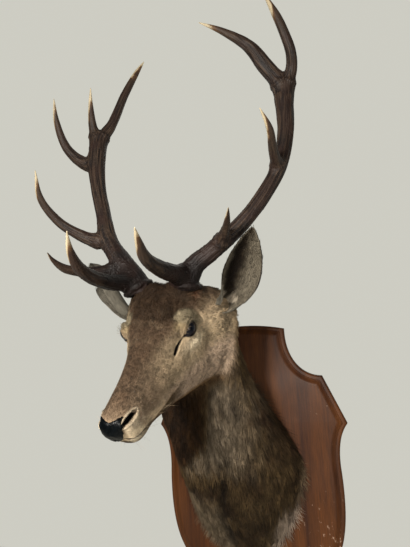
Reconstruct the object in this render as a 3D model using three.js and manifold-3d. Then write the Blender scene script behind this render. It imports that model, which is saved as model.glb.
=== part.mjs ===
// Red deer stag head with branched antlers, mounted on a shield-shaped wooden board.
// Millimetres, +Z up. The origin is on the board's back face, on its upright axis:
// the wall is the plane Y = 0 and the head comes out of it towards -Y.
import * as THREE from 'three';
import { mergeVertices } from 'three/addons/utils/BufferGeometryUtils.js';
import Module from 'manifold-3d';

const wasm = await Module();
wasm.setup();

// Clear space between neighbouring pieces.
const gap = 0.3;
const ringPoints = 30;

// Board: half outline from the middle of its top to the point at its foot, and the moulded edge.
const boardTop = 331;
const boardFoot = -352;
const boardFace = -26;
const boardMoulding = [
  [0, 0], [0, -14], [3, -17.5], [9, -18], [13, -19.5], [19, -24.5], [25, boardFace],
];

// Head: the point midway between the eyes, how far the nose drops and how far it turns.
const eyePoint = new THREE.Vector3(-90, -385, 316);
const noseDrop = THREE.MathUtils.degToRad(31);
const noseTurn = THREE.MathUtils.degToRad(0.9);
const eyeRadius = 19;
const eyeSpacing = 60;
const eyeHeight = 8;

// Sections of head and neck:
// [top y, top z, foot y, foot z, middle x, half width, height of the widest point, roundness above, below].
// Head sections are in the head's own frame, with the eye line at zero and the nose towards -Y.
const headSections = [
  [134, 44, 98, -170, 9, 132, 0.62, 3, 2.2],
  [94, 66, 66, -174, 4, 110, 0.58, 2.5, 2.6],
  [54, 69, 32, -162, 0, 81, 0.58, 2.3, 3.3],
  [14, 62, 2, -148, 0, 76, 0.6, 2.3, 3.2],
  [-30, 50, -36, -135, 0, 62, 0.56, 2.1, 3],
  [-70, 39, -70, -121, 0, 49, 0.48, 1.9, 2.8],
];
const muzzleSections = [
  [-70, 39, -70, -121, 0, 49, 0.48, 1.9, 2.8],
  [-115, 28, -115, -105, 0, 39, 0.42, 1.8, 2.6],
  [-160, 17, -158, -91, 0, 32.5, 0.42, 1.9, 2.3],
  [-196, 9, -194, -86, 0, 31, 0.46, 2.1, 2.2],
  [-222, 2, -212, -78, 0, 30, 0.52, 2.3, 2.2],
  [-234, -3, -224, -66, 0, 27, 0.54, 2.3, 2],
];
const noseSections = [
  [-234, -3, -224, -66, 0, 27, 0.54, 2.3, 2],
  [-241, -8, -231, -56, 0, 22, 0.54, 2.3, 2],
  [-246, -18, -239, -44, 0, 13, 0.5, 2.1, 2],
];
// The mouth's line runs back and down from here.
const mouthFront = [-234, -50];
const mouthFall = THREE.MathUtils.degToRad(-15);
// Neck sections, from the board outwards.
const neckSections = [
  [boardFace, 205, boardFace, -238, -8, 153, 0.46, 1.2, 2.2],
  [-70, 238, -95, -190, -22, 142, 0.46, 1.25, 2.5],
  [-130, 292, -150, -128, -38, 120, 0.48, 1.5, 2.7],
  [-190, 358, -198, -30, -57, 101, 0.52, 2.5, 2.6],
  [-242, 402, -232, 84, -75, 110, 0.57, 3.1, 2.4],
];

// Ear: [share of the way along it, half width of the blade, how far its edges curl round, in degrees].
const earStations = [
  [0, 18, 150], [0.2, 21, 150], [0.36, 27, 132], [0.52, 36, 112], [0.68, 38, 92], [0.81, 32, 80], [0.92, 19, 66],
  [1, 3, 40],
];
const earThickness = 5;
const earLeft = {
  line: [[94, 118, -4], [122, 110, 6], [144, 107, 31], [163, 107, 66], [184, 101, 112], [207, 86, 166]],
  facing: [0.25, -1, 0.15],
  width: 1,
};
const earRight = {
  line: [[-92, 114, -16], [-114, 114, 10], [-136, 122, 46], [-160, 142, 82], [-184, 155, 92], [-210, 168, 100]],
  facing: [-0.7, -0.75, 0],
  width: 0.85,
};

// Antlers: [x, y, z, radius] along each piece, from its root to its tip.
const coronetRadius = 33;
const coronetHeight = 17;
const pedicleRadius = 25;
const antlerLeft = {
  coronet: { foot: [-40, -348, 405], axis: [0.25, -0.1, 1] },
  beam_lower: [[-38, -350, 412, 25], [-14, -357, 451, 22], [20, -360, 472, 18.5], [91, -352, 528, 17]],
  beam_middle: [[91, -352, 528, 17], [137, -337, 585, 16.5], [172, -322, 647, 16.5], [191, -306, 731, 18]],
  beam_upper: [[191, -306, 731, 18], [194, -297, 802, 21], [196, -294, 838, 25], [200, -298, 858, 21]],
  brow_tine: [[-40, -356, 431, 21], [-47, -450, 431, 16], [-44, -533, 439, 11.5], [-32, -585, 458, 5.5],
    [-25, -609, 470, 1.5]],
  bez_tine: [[41, -362, 488, 13], [67, -405, 505, 8.5], [84, -455, 514, 4.5], [94, -490, 518, 1.5]],
  trez_tine: [[169, -322, 643, 12.5], [168, -380, 656, 9.5], [170, -430, 677, 7], [159, -466, 702, 1.5]],
  front_crown_tine: [[192, -296, 834, 20], [159, -322, 887, 17], [134, -346, 919, 14], [85, -372, 950, 7.5],
    [37, -394, 970, 1.5]],
  back_crown_tine: [[204, -298, 840, 16], [217, -310, 868, 12.5], [220, -328, 891, 12], [212, -346, 925, 11],
    [198, -360, 966, 9], [176, -372, 1020, 2]],
};
const antlerRight = {
  coronet: { foot: [-139, -352, 408], axis: [-0.5, -0.1, 1] },
  beam_lower: [[-143, -354, 419, 26], [-162, -353, 449, 25], [-184, -350, 477, 23], [-222, -338, 534, 20]],
  beam_middle: [[-222, -338, 534, 20], [-247, -318, 609, 17.5], [-268, -302, 681, 18.5],
    [-278, -291, 745, 21]],
  beam_upper: [[-278, -291, 745, 21], [-279, -283, 791, 22.5], [-278, -278, 821, 24], [-276, -276, 840, 20]],
  brow_tine: [[-156, -356, 428, 20], [-173, -440, 423, 15], [-172, -520, 431, 12.5], [-156, -580, 453, 7],
    [-140, -613, 479, 1.5]],
  bez_tine: [[-195, -350, 462, 14], [-237, -395, 455, 11.5], [-264, -440, 458, 9.5], [-269, -475, 471, 4.5],
    [-266, -496, 482, 1.5]],
  trez_tine: [[-237, -338, 529, 17], [-279, -350, 548, 14], [-321, -382, 580, 11], [-338, -424, 624, 8],
    [-323, -462, 675, 1.5]],
  front_crown_tine: [[-287, -284, 747, 18], [-314, -292, 758, 16], [-348, -312, 795, 12],
    [-355, -345, 853, 7.5], [-343, -372, 898, 1.5]],
  middle_crown_tine: [[-289, -280, 820, 15], [-283, -300, 860, 10], [-271, -325, 895, 5.5],
    [-260, -342, 924, 1.5]],
  back_crown_tine: [[-268, -276, 820, 17], [-250, -264, 860, 13], [-213, -250, 951, 10.5],
    [-181, -242, 1010, 7], [-160, -240, 1038, 1.5]],
  crown_prong: [[-188, -246, 992, 7], [-187, -240, 1006, 4], [-187, -236, 1025, 1.5]],
};

// Skins a row of equal rings and closes both ends with a fan.
function loft(rings) {
  const count = rings[0].length;
  const centre = (ring) => ring.reduce((sum, p) => sum.add(p), new THREE.Vector3()).divideScalar(count);
  const last = (rings.length - 1) * count;
  const points = [...rings.flat(), centre(rings[0]), centre(rings.at(-1))];
  const index = [];
  for (let i = 0; i < count; i += 1) {
    const j = (i + 1) % count;
    for (let row = 0; row < last; row += count) {
      index.push(row + i, row + j, row + count + j, row + i, row + count + j, row + count + i);
    }
    index.push(last + count, j, i, last + count + 1, last + i, last + j);
  }
  const geometry = new THREE.BufferGeometry().setFromPoints(points);
  geometry.setIndex(index);
  return geometry;
}

function enclosedVolume(geometry) {
  const { position } = geometry.attributes;
  const at = (i) => new THREE.Vector3().fromBufferAttribute(position, geometry.index.getX(i));
  let volume = 0;
  for (let i = 0; i < geometry.index.count; i += 3) {
    volume += at(i).cross(at(i + 1)).dot(at(i + 2)) / 6;
  }
  return volume;
}

// Turns a closed geometry into a solid, its faces pointing out.
function toSolid(source) {
  const bare = source.clone();
  bare.deleteAttribute('normal');
  bare.deleteAttribute('uv');
  const geometry = mergeVertices(bare, 1e-4);
  const triangles = Uint32Array.from(geometry.index.array);
  if (enclosedVolume(geometry) < 0) triangles.reverse();
  const vertices = Float32Array.from(geometry.attributes.position.array);
  return new wasm.Manifold(new wasm.Mesh({ numProp: 3, vertProperties: vertices, triVerts: triangles }));
}

function toGeometry(solid) {
  const mesh = solid.getMesh();
  const geometry = new THREE.BufferGeometry();
  geometry.setAttribute('position', new THREE.BufferAttribute(Float32Array.from(mesh.vertProperties), 3));
  geometry.setIndex(new THREE.BufferAttribute(Uint32Array.from(mesh.triVerts), 1));
  geometry.computeVertexNormals();
  return geometry;
}

// Cuts the solid back from its neighbours and drops any shaving that comes off.
function cutBack(solid, ...neighbours) {
  const cut = neighbours.reduce((body, neighbour) => body.subtract(neighbour), solid);
  return cut.decompose().reduce((best, body) => (body.volume() > best.volume() ? body : best)).simplify(0.02);
}

// A section of head or neck: a rounded outline between its top and its foot.
function sectionRing([topY, topZ, footY, footZ, middle, halfWidth, widest, above, below], count, grow) {
  const top = new THREE.Vector3(middle, topY, topZ);
  const foot = new THREE.Vector3(middle, footY, footZ);
  const spread = grow / top.distanceTo(foot);
  return Array.from({ length: count }, (_, i) => {
    const angle = (2 * Math.PI * i) / count;
    const side = Math.cos(angle);
    const rise = Math.sin(angle);
    const power = 2 / (rise >= 0 ? above : below);
    const reach = rise >= 0 ? 1 - widest + spread : widest + spread;
    const point = foot.clone().lerp(top, widest + Math.sign(rise) * reach * Math.abs(rise) ** power);
    point.x += Math.sign(side) * (halfWidth + grow) * Math.abs(side) ** power;
    return point;
  });
}

// Runs smooth lines through matching points of the sections.
function fleshLoft(rings, stepsBetween) {
  const steps = (rings.length - 1) * stepsBetween;
  const lines = rings[0].map((_, i) => new THREE.CatmullRomCurve3(rings.map((ring) => ring[i])));
  return loft(Array.from({ length: steps + 1 }, (_, k) => lines.map((line) => line.getPoint(k / steps))));
}

// A round horn along a smooth line, its radius changing from point to point.
function horn(stations, sides, stepsBetween, grow) {
  const line = new THREE.CatmullRomCurve3(stations.map(([x, y, z]) => new THREE.Vector3(x, y, z)));
  const steps = (stations.length - 1) * stepsBetween;
  const tangent = line.getTangent(0);
  const across = new THREE.Vector3(0, 0, 1).cross(tangent).normalize();
  const rings = [];
  for (let k = 0; k <= steps; k += 1) {
    const here = line.getTangent(k / steps);
    across.applyQuaternion(new THREE.Quaternion().setFromUnitVectors(tangent, here));
    tangent.copy(here);
    const along = (k / steps) * (stations.length - 1);
    const before = Math.min(Math.floor(along), stations.length - 2);
    const radius = THREE.MathUtils.lerp(stations[before][3], stations[before + 1][3], along - before) + grow;
    const middle = line.getPoint(k / steps);
    if (k === 0) middle.addScaledVector(here, -grow);
    if (k === steps) middle.addScaledVector(here, grow);
    rings.push(Array.from({ length: sides }, (_, i) => (
      across.clone().applyAxisAngle(here, (2 * Math.PI * i) / sides).multiplyScalar(radius).add(middle)
    )));
  }
  return toSolid(loft(rings));
}

// The rough ring of bone round the antler's root, turned about its own axis.
function coronet({ foot, axis }, grow) {
  const wide = coronetRadius + grow;
  const profile = [
    [0, -grow], [wide - 9, -grow], [wide - 2, 4], [wide, 8], [wide - 3, 12],
    [wide - 9, coronetHeight + grow], [0, coronetHeight + grow],
  ];
  const geometry = new THREE.LatheGeometry(profile.map(([r, h]) => new THREE.Vector2(r, h)), 16);
  const up = new THREE.Vector3(0, 1, 0);
  const turn = new THREE.Quaternion().setFromUnitVectors(up, new THREE.Vector3(...axis).normalize());
  geometry.applyQuaternion(turn).translate(...foot);
  return toSolid(geometry);
}

// Shield outline at a given distance in from the board's edge.
function boardRing(inset, y) {
  const half = new THREE.Shape();
  half.moveTo(0, boardTop);
  half.quadraticCurveTo(62, boardTop, 117, 317);
  half.bezierCurveTo(113, 240, 150, 191, 204, 189);
  half.lineTo(254, 70);
  half.bezierCurveTo(234, 46, 226, 12, 227, -38);
  half.bezierCurveTo(231, -110, 228, -190, 200, -240);
  half.bezierCurveTo(178, -292, 84, -306, 0, boardFoot);
  const right = half.getPoints(6);
  const left = right.slice(1, -1).reverse().map((p) => new THREE.Vector2(-p.x, p.y));
  const outline = [...right, ...left];
  return outline.map((point, i) => {
    const before = outline.at(i - 1);
    const after = outline[(i + 1) % outline.length];
    const into = point.clone().sub(before).normalize();
    const out = after.clone().sub(point).normalize();
    const bisector = new THREE.Vector2(into.y + out.y, -into.x - out.x).normalize();
    const reach = inset / Math.max(bisector.dot(new THREE.Vector2(out.y, -out.x)), 0.5);
    return new THREE.Vector3(point.x + bisector.x * reach, y, point.y + bisector.y * reach);
  });
}

// An ear: a leaf-shaped blade curled into a cup, open towards its facing direction.
function ear({ line, facing, width }) {
  const path = new THREE.CatmullRomCurve3(line.map((point) => new THREE.Vector3(...point)));
  const rings = earStations.map(([share, halfWidth, curl]) => {
    const along = path.getTangent(share);
    const front = new THREE.Vector3(...facing);
    front.addScaledVector(along, -front.dot(along)).normalize();
    const side = new THREE.Vector3().crossVectors(along, front);
    const sweep = THREE.MathUtils.degToRad(curl);
    const radius = (width * halfWidth) / Math.sin(Math.min(sweep, Math.PI / 2));
    const edge = [...Array(9).keys()].map((i) => [(i / 4 - 1) * sweep, radius]);
    const inside = edge.map(([angle]) => [angle * 0.97, Math.max(radius - earThickness, 1)]).reverse();
    const middle = path.getPoint(share).addScaledVector(front, radius * 0.6);
    return [...edge, ...inside].map(([angle, reach]) => (
      middle.clone()
        .addScaledVector(side, Math.sin(angle) * reach)
        .addScaledVector(front, -Math.cos(angle) * reach)
    ));
  });
  return toSolid(loft(rings));
}

function addMesh(parent, name, solid, finish) {
  const mesh = new THREE.Mesh(toGeometry(solid), new THREE.MeshStandardMaterial(finish));
  mesh.name = name;
  parent.add(mesh);
}

const coat = { color: '#8a7458', roughness: 0.9, metalness: 0 };
const darkSkin = { color: '#17161a', roughness: 0.45, metalness: 0 };
const antlerBone = { color: '#3a2a22', roughness: 0.6, metalness: 0 };
const glass = { color: '#0d1016', roughness: 0.05, metalness: 0 };
const stainedWood = { color: '#6b3522', roughness: 0.45, metalness: 0 };

const stagHead = new THREE.Group();
const head = new THREE.Group();
head.position.copy(eyePoint);
head.rotation.set(noseDrop, 0, noseTurn, 'ZYX');
head.updateMatrix();
stagHead.add(head);

const board = toSolid(loft(boardMoulding.map(([inset, y]) => boardRing(inset, y))));
addMesh(stagHead, 'shield_board', board, stainedWood);

// Head pieces in the head's frame; the antlers' roots are brought into it for the cuts.
const intoHead = head.matrix.clone().invert().toArray();
const fleshRings = (sections, grow) => sections.map((section) => sectionRing(section, ringPoints, grow));
const slab = (size, middle) => toSolid(new THREE.BoxGeometry(...size).translate(...middle));
const eyeball = (side, grow) => toSolid(
  new THREE.SphereGeometry(eyeRadius + grow, 12, 8)
    .rotateZ(Math.PI / 2).translate(side * eyeSpacing, 0, eyeHeight),
);
const orbit = (side) => toSolid(
  new THREE.SphereGeometry(1, 14, 8).scale(17, 34, 20).translate(side * 56, 2, 24),
);

const coronets = { left: antlerLeft.coronet, right: antlerRight.coronet };
const pedicles = Object.values(coronets).map(({ foot, axis }) => {
  const up = new THREE.Vector3(...axis).normalize();
  const top = new THREE.Vector3(...foot).addScaledVector(up, -gap);
  const low = top.clone().addScaledVector(up, -60);
  return horn([[...low, pedicleRadius + 6], [...top, pedicleRadius]], 16, 1, 0).transform(intoHead);
});
const coronetsInHead = Object.values(coronets).map((place) => coronet(place, gap).transform(intoHead));

const skull = toSolid(fleshLoft(fleshRings(headSections, 0), 2));
const crown = wasm.Manifold.union([skull, orbit(1), orbit(-1), ...pedicles]);
addMesh(head, 'head', cutBack(crown, eyeball(1, gap), eyeball(-1, gap), ...coronetsInHead), coat);
for (const [side, name] of [[1, 'left'], [-1, 'right']]) {
  addMesh(head, `eye_${name}`, eyeball(side, 0), glass);
}

const beyond = (y) => slab([200, 100, 300], [0, y + 50, 0]);
const snout = cutBack(toSolid(fleshLoft(fleshRings(muzzleSections, 0), 2)), beyond(-70 - gap));
const jawSpace = (grow) => toSolid(
  new THREE.BoxGeometry(200, 400, 100 + grow).translate(0, 0, grow / 2 - 50)
    .rotateX(mouthFall).translate(0, ...mouthFront),
);
addMesh(head, 'muzzle', cutBack(snout, jawSpace(gap)), coat);
addMesh(head, 'lower_jaw', snout.intersect(jawSpace(0)), coat);
const nose = toSolid(fleshLoft(fleshRings(noseSections, 0), 2));
addMesh(head, 'nose_pad', nose.translate([0, -gap, 0]), darkSkin);

// Neck, its last ring just behind the head's first.
const backward = new THREE.Vector3(0, 1, 0).transformDirection(head.matrix).multiplyScalar(2 * gap);
const neckSolid = (grow) => {
  const joint = sectionRing(headSections[0], ringPoints, grow);
  joint.forEach((point) => point.applyMatrix4(head.matrix).add(backward));
  return toSolid(fleshLoft([...fleshRings(neckSections, grow), joint], 3)).translate([0, -gap, 0]);
};
addMesh(stagHead, 'neck', neckSolid(0), coat);

const neckInHead = neckSolid(2 * gap).transform(intoHead);
const grownSkull = toSolid(fleshLoft(fleshRings(headSections, gap), 2));
for (const [place, name] of [[earLeft, 'left'], [earRight, 'right']]) {
  addMesh(head, `ear_${name}`, cutBack(ear(place), grownSkull, neckInHead, ...coronetsInHead), coat);
}

// Antlers: each piece is cut back from the piece that it grows out of.
const growsFrom = {
  beam_lower: ['coronet'],
  beam_middle: ['beam_lower'],
  beam_upper: ['beam_middle'],
  brow_tine: ['coronet', 'beam_lower'],
  bez_tine: ['beam_lower', 'brow_tine'],
  trez_tine: ['beam_lower', 'beam_middle'],
  front_crown_tine: ['beam_middle', 'beam_upper'],
  back_crown_tine: ['beam_upper', 'front_crown_tine'],
  middle_crown_tine: ['beam_upper', 'back_crown_tine'],
  crown_prong: ['back_crown_tine'],
};
for (const [name, antler] of [['left', antlerLeft], ['right', antlerRight]]) {
  const group = new THREE.Group();
  stagHead.add(group);
  const build = (piece, grow) => {
    if (piece === 'coronet') return coronet(antler.coronet, grow);
    return horn(antler[piece], piece.startsWith('beam') ? 10 : 8, 2, grow);
  };
  addMesh(group, `coronet_${name}`, build('coronet', 0), antlerBone);
  for (const piece of Object.keys(antler).slice(1)) {
    const neighbours = growsFrom[piece].filter((other) => antler[other]).map((other) => build(other, gap));
    addMesh(group, `${piece}_${name}`, cutBack(build(piece, 0), ...neighbours), antlerBone);
  }
}

export default stagHead;
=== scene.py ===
import math

import bpy
import numpy as np
from mathutils import Matrix, Vector, kdtree


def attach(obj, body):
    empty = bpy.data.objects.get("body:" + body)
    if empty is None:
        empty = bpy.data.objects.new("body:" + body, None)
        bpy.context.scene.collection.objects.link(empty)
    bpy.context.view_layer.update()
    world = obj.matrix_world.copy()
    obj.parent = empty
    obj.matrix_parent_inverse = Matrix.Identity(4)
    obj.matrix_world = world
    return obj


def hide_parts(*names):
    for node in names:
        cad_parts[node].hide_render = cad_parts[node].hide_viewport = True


# red deer stag's head on a shield board: x to the stag's left, y into the wall, z up
# shapes are worked out in millimetres and become metres when a mesh is made
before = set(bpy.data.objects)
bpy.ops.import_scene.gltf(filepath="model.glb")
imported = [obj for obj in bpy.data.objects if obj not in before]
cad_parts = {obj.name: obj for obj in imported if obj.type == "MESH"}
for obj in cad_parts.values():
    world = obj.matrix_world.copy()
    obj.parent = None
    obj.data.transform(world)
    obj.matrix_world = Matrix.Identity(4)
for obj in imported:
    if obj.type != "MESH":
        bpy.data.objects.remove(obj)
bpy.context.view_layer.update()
print("frame loaded")


def toLinear(hexColour):
    parts = [int(hexColour[i:i + 2], 16) / 255 for i in (1, 3, 5)]
    return tuple(c / 12.92 if c <= 0.04045 else ((c + 0.055) / 1.055) ** 2.4 for c in parts) + (1.0,)


def addNode(tree, kind, inputs=None, **settings):
    node = tree.nodes.new(kind)
    for name, value in settings.items():
        setattr(node, name, value)
    for key, value in (inputs or {}).items():
        if isinstance(value, bpy.types.NodeSocket):
            tree.links.new(value, node.inputs[key])
        else:
            node.inputs[key].default_value = value
    return node


def number(tree, operation, a, b=0.0, c=0.0):
    return addNode(tree, "ShaderNodeMath", {0: a, 1: b, 2: c}, operation=operation).outputs[0]


def ramp(low, high, value):
    # 0 at low and 1 at high, eased at both ends
    t = np.clip((value - low) / (high - low), 0, 1)
    return t * t * (3 - 2 * t)


def bell(distance, width):
    return np.exp(-(distance / width) ** 2)


def blob(points, place, size):
    # 1 at a place, fading away from it
    return np.exp(-(((points - np.array(place)) / np.array(size)) ** 2).sum(axis=1))


def unit(vectors):
    return vectors / np.maximum(np.linalg.norm(vectors, axis=-1, keepdims=True), 1e-9)


def lengthOf(vectors):
    return np.linalg.norm(vectors, axis=1)


def noise(points, size, seed):
    # smooth noise from -1 to 1, one hump per cell of that size
    scaled = points / np.asarray(size, float)
    cell = np.floor(scaled).astype(np.int64)
    part = scaled - cell
    part = part * part * (3 - 2 * part)
    total = np.zeros(points.shape[:-1])
    for corner in np.ndindex(2, 2, 2):
        at = cell + np.array(corner)
        stirred = (at[..., 0] * 73856093) ^ (at[..., 1] * 19349663) ^ (at[..., 2] * 83492791)
        stirred = stirred ^ (seed * 2654435761)
        stirred = (stirred ^ (stirred >> 13)) * 1274126177 & 0x7FFFFFFF
        weight = np.prod(np.where(np.array(corner) == 1, part, 1 - part), axis=-1)
        total += weight * ((stirred % 20011) / 10005 - 1)
    return total


def smoothLine(points, at):
    # centripetal Catmull-Rom through rows of points, read at fractional row numbers
    points = np.asarray(points, float)
    padded = np.concatenate([2 * points[:1] - points[1:2], points, 2 * points[-1:] - points[-2:-1]])
    at = np.clip(np.asarray(at, float), 0, len(points) - 1)
    row = np.minimum(at.astype(int), len(points) - 2)
    t = (at - row).reshape((-1,) + (1,) * (points.ndim - 1))
    p0, p1, p2, p3 = (padded[row + k] for k in range(4))
    gap0, gap1, gap2 = (
        np.maximum(np.linalg.norm(b - a, axis=-1, keepdims=True), 1e-6) ** 0.5
        for a, b in ((p0, p1), (p1, p2), (p2, p3))
    )
    out = ((p1 - p0) / gap0 - (p2 - p0) / (gap0 + gap1) + (p2 - p1) / gap1) * gap1
    into = ((p2 - p1) / gap1 - (p3 - p1) / (gap1 + gap2) + (p3 - p2) / gap2) * gap1
    return (
        p1 + out * t + (3 * (p2 - p1) - 2 * out - into) * t ** 2
        + (2 * (p1 - p2) + out + into) * t ** 3
    )


def columnsAt(at, known, rows):
    # three columns read at the same places
    return np.stack([np.interp(at, known, rows[:, k]) for k in range(3)], axis=1)


def nearLine(points, line, side=1):
    # distance to a polyline, and how far along it the nearest place is, from 0 to 1
    line = np.asarray(line, float) * (side, 1, 1)
    best = np.full(len(points), 1e9)
    share = np.zeros(len(points))
    for k in range(len(line) - 1):
        along = line[k + 1] - line[k]
        t = np.clip((points - line[k]) @ along / (along @ along), 0, 1)
        distance = lengthOf(points - line[k] - t[:, None] * along)
        closer = distance < best
        best = np.where(closer, distance, best)
        share = np.where(closer, (k + t) / (len(line) - 1), share)
    return best, share


def nearestIn(points, known, chosen=None):
    # which known point is nearest to each point, and how far away it is
    index = np.arange(len(known)) if chosen is None else np.flatnonzero(chosen)
    tree = kdtree.KDTree(len(index))
    for k in index:
        tree.insert(known[k], int(k))
    tree.balance()
    found = [tree.find(point) for point in points]
    return np.array([f[1] for f in found]), np.array([f[2] for f in found])


def newMesh(name, points, faces):
    mesh = bpy.data.meshes.new(name)
    mesh.from_pydata((np.asarray(points) * 0.001).tolist(), [], [list(face) for face in faces])
    mesh.validate()
    mesh.shade_smooth()
    return mesh


def newPiece(name, mesh):
    piece = bpy.data.objects.new(name, mesh)
    bpy.context.scene.collection.objects.link(piece)
    return piece


def dress(piece, material):
    piece.data.materials.clear()
    piece.data.materials.append(material)


def readMesh(elements, key, width, kind):
    flat = np.empty(len(elements) * width, kind)
    elements.foreach_get(key, flat)
    return flat.reshape(-1, width)


def meshPoints(mesh):
    return readMesh(mesh.vertices, "co", 3, np.float32).astype(float) * 1000


def normalsOf(mesh):
    return readMesh(mesh.vertex_normals, "vector", 3, np.float32).astype(float)


def edgesOf(mesh):
    return readMesh(mesh.edges, "vertices", 2, np.int64)


def setPoints(mesh, points):
    mesh.vertices.foreach_set("co", (points * 0.001).astype(np.float32).ravel())
    mesh.update()


def storeAttribute(mesh, name, values, kind="FLOAT"):
    key = {"FLOAT": "value", "FLOAT_VECTOR": "vector", "FLOAT_COLOR": "color"}[kind]
    layer = mesh.attributes.new(name, kind, "POINT")
    layer.data.foreach_set(key, np.asarray(values, np.float32).ravel())


def trianglesIn(mesh):
    return sum(len(face.vertices) - 2 for face in mesh.polygons)


def gridFaces(rows, columns):
    # quads between rows of points, each row going once round
    row, column = np.meshgrid(np.arange(rows - 1), np.arange(columns), indexing="ij")
    here = row * columns + column
    beside = row * columns + (column + 1) % columns
    return np.stack([here, beside, beside + columns, here + columns], axis=-1).reshape(-1, 4)


def gridNormals(grid):
    around = np.roll(grid, -1, axis=1) - np.roll(grid, 1, axis=1)
    along = np.gradient(grid, axis=0)
    return unit(np.cross(along, around))


def closedLoft(grid):
    # points and faces of a loft with both ends closed on a middle point
    rows, columns, _ = grid.shape
    points = np.concatenate([grid.reshape(-1, 3), grid[0].mean(axis=0)[None], grid[-1].mean(axis=0)[None]])
    faces = gridFaces(rows, columns).tolist()
    first, last, lastRow = rows * columns, rows * columns + 1, (rows - 1) * columns
    for i in range(columns):
        j = (i + 1) % columns
        faces += [[first, j, i], [last, lastRow + i, lastRow + j]]
    return points, faces


def outwardMesh(name, points, faces):
    mesh = newMesh(name, points, faces)
    corners = points[[face[:3] for face in faces]]
    volume = np.einsum("ij,ij->i", corners[:, 0], np.cross(corners[:, 1], corners[:, 2])).sum()
    if volume < 0:
        mesh.flip_normals()
    return mesh


def remove(piece):
    mesh = piece.data
    bpy.data.objects.remove(piece)
    bpy.data.meshes.remove(mesh)


def realMesh(piece, name):
    # a plain copy of the piece's mesh, with its modifiers made real
    mesh = bpy.data.meshes.new_from_object(piece.evaluated_get(bpy.context.evaluated_depsgraph_get()))
    mesh.name = name
    return mesh


def finished(piece, name):
    mesh = realMesh(piece, name)
    remove(piece)
    return newPiece(name, mesh)


# level with the stag's chin, a little to its left, looking up at the antlers
camera = {
    "place": (240.24, -1152.54, 294.30),
    "turn": 16.39,       # degrees to the left of straight at the wall
    "rise": 9.38,
    "roll": -3.57,
    "focalLength": 27.14,
}


def makeCamera():
    data = bpy.data.cameras.new("camera")
    data.sensor_width = 36
    data.sensor_fit = "AUTO"
    data.lens = camera["focalLength"]
    data.clip_start = 0.05
    viewer = newPiece("camera", data)
    turn, rise, roll = (math.radians(camera[key]) for key in ("turn", "rise", "roll"))
    forward = Vector((-math.sin(turn) * math.cos(rise), math.cos(turn) * math.cos(rise), math.sin(rise)))
    level = Vector((math.cos(turn), math.sin(turn), 0))
    upright = level.cross(forward)
    right = level * math.cos(roll) + upright * math.sin(roll)
    up = upright * math.cos(roll) - level * math.sin(roll)
    place = Vector(camera["place"]) * 0.001
    turned = [(right[k], up[k], -forward[k], place[k]) for k in range(3)]
    viewer.matrix_world = Matrix(turned + [(0, 0, 0, 1)])
    bpy.context.scene.camera = viewer


makeCamera()
print("camera placed")

# the head has its own frame: eye line at zero, nose towards -y
head = {
    "eyePoint": np.array([-90.0, -385.0, 316.0]),
    "noseDrop": 31.0,
    "noseTurn": 0.9,
}
headTurn = np.array(
    Matrix.Rotation(math.radians(head["noseTurn"]), 3, "Z")
    @ Matrix.Rotation(math.radians(head["noseDrop"]), 3, "X")
)


def toWorld(points):
    return points @ headTurn.T + head["eyePoint"]


def toHead(points):
    return (points - head["eyePoint"]) @ headTurn


# the skin is one loft from the nose to the board, with the ears grown on
skin = {
    # top y and z, foot y and z, middle x, half width, height of the widest point, roundness above and below
    "head": [
        [-248, -25, -243, -37, 0, 6, 0.5, 2.0, 2.0],
        [-246, -18, -239, -44, 0, 13, 0.5, 2.1, 2.0],
        [-241, -8, -231, -56, 0, 22, 0.54, 2.3, 2.0],
        [-234, -3, -224, -66, 0, 27, 0.54, 2.3, 2.0],
        [-222, 2, -212, -78, 0, 30, 0.52, 2.3, 2.2],
        [-196, 9, -194, -86, 0, 31, 0.46, 2.1, 2.2],
        [-160, 17, -158, -91, 0, 32.5, 0.42, 1.9, 2.3],
        [-115, 28, -115, -105, 0, 39, 0.42, 1.8, 2.6],
        [-70, 39, -70, -121, 0, 49, 0.48, 1.9, 2.8],
        [-30, 50, -36, -135, 0, 62, 0.56, 2.1, 3.0],
        [14, 62, 2, -148, 0, 76, 0.6, 2.3, 3.2],
        [54, 69, 32, -162, 0, 81, 0.58, 2.3, 3.3],
        [94, 66, 66, -174, 4, 110, 0.58, 2.5, 2.6],
        [134, 44, 98, -170, 9, 132, 0.62, 3.0, 2.2],
    ],
    # upright sections in the room's frame, towards the board
    "neck": [
        [-242, 402, -232, 84, -75, 110, 0.57, 3.1, 2.4],
        [-190, 358, -198, -30, -57, 101, 0.52, 2.5, 2.6],
        [-130, 292, -150, -128, -38, 120, 0.48, 1.5, 2.7],
        [-70, 238, -95, -190, -22, 142, 0.46, 1.25, 2.5],
        [-26.4, 205, -26.4, -238, -8, 153, 0.46, 1.2, 2.2],
    ],
    # how deep the skin lies under the tips of the coat, at each section from the nose to the board
    "coatDepth": [0.5, 0.5, 0.6, 0.7, 0.8, 1.0, 1.2, 1.4, 1.8, 2.0, 2.2, 2.6, 3.5, 5.0, 6.5, 7.5, 8.5, 9, 9],
    # row spacing at each section
    "rowStep": [0.8, 0.9, 1.0, 1.1, 1.3, 1.7, 2.3, 2.3, 1.7, 1.15, 1.2, 2.0, 3.2, 4.4, 5.5, 6.5, 7, 7, 6],
    "halfColumns": 146,
    "easing": 260,          # rounds of smoothing behind the skull
}
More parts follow.
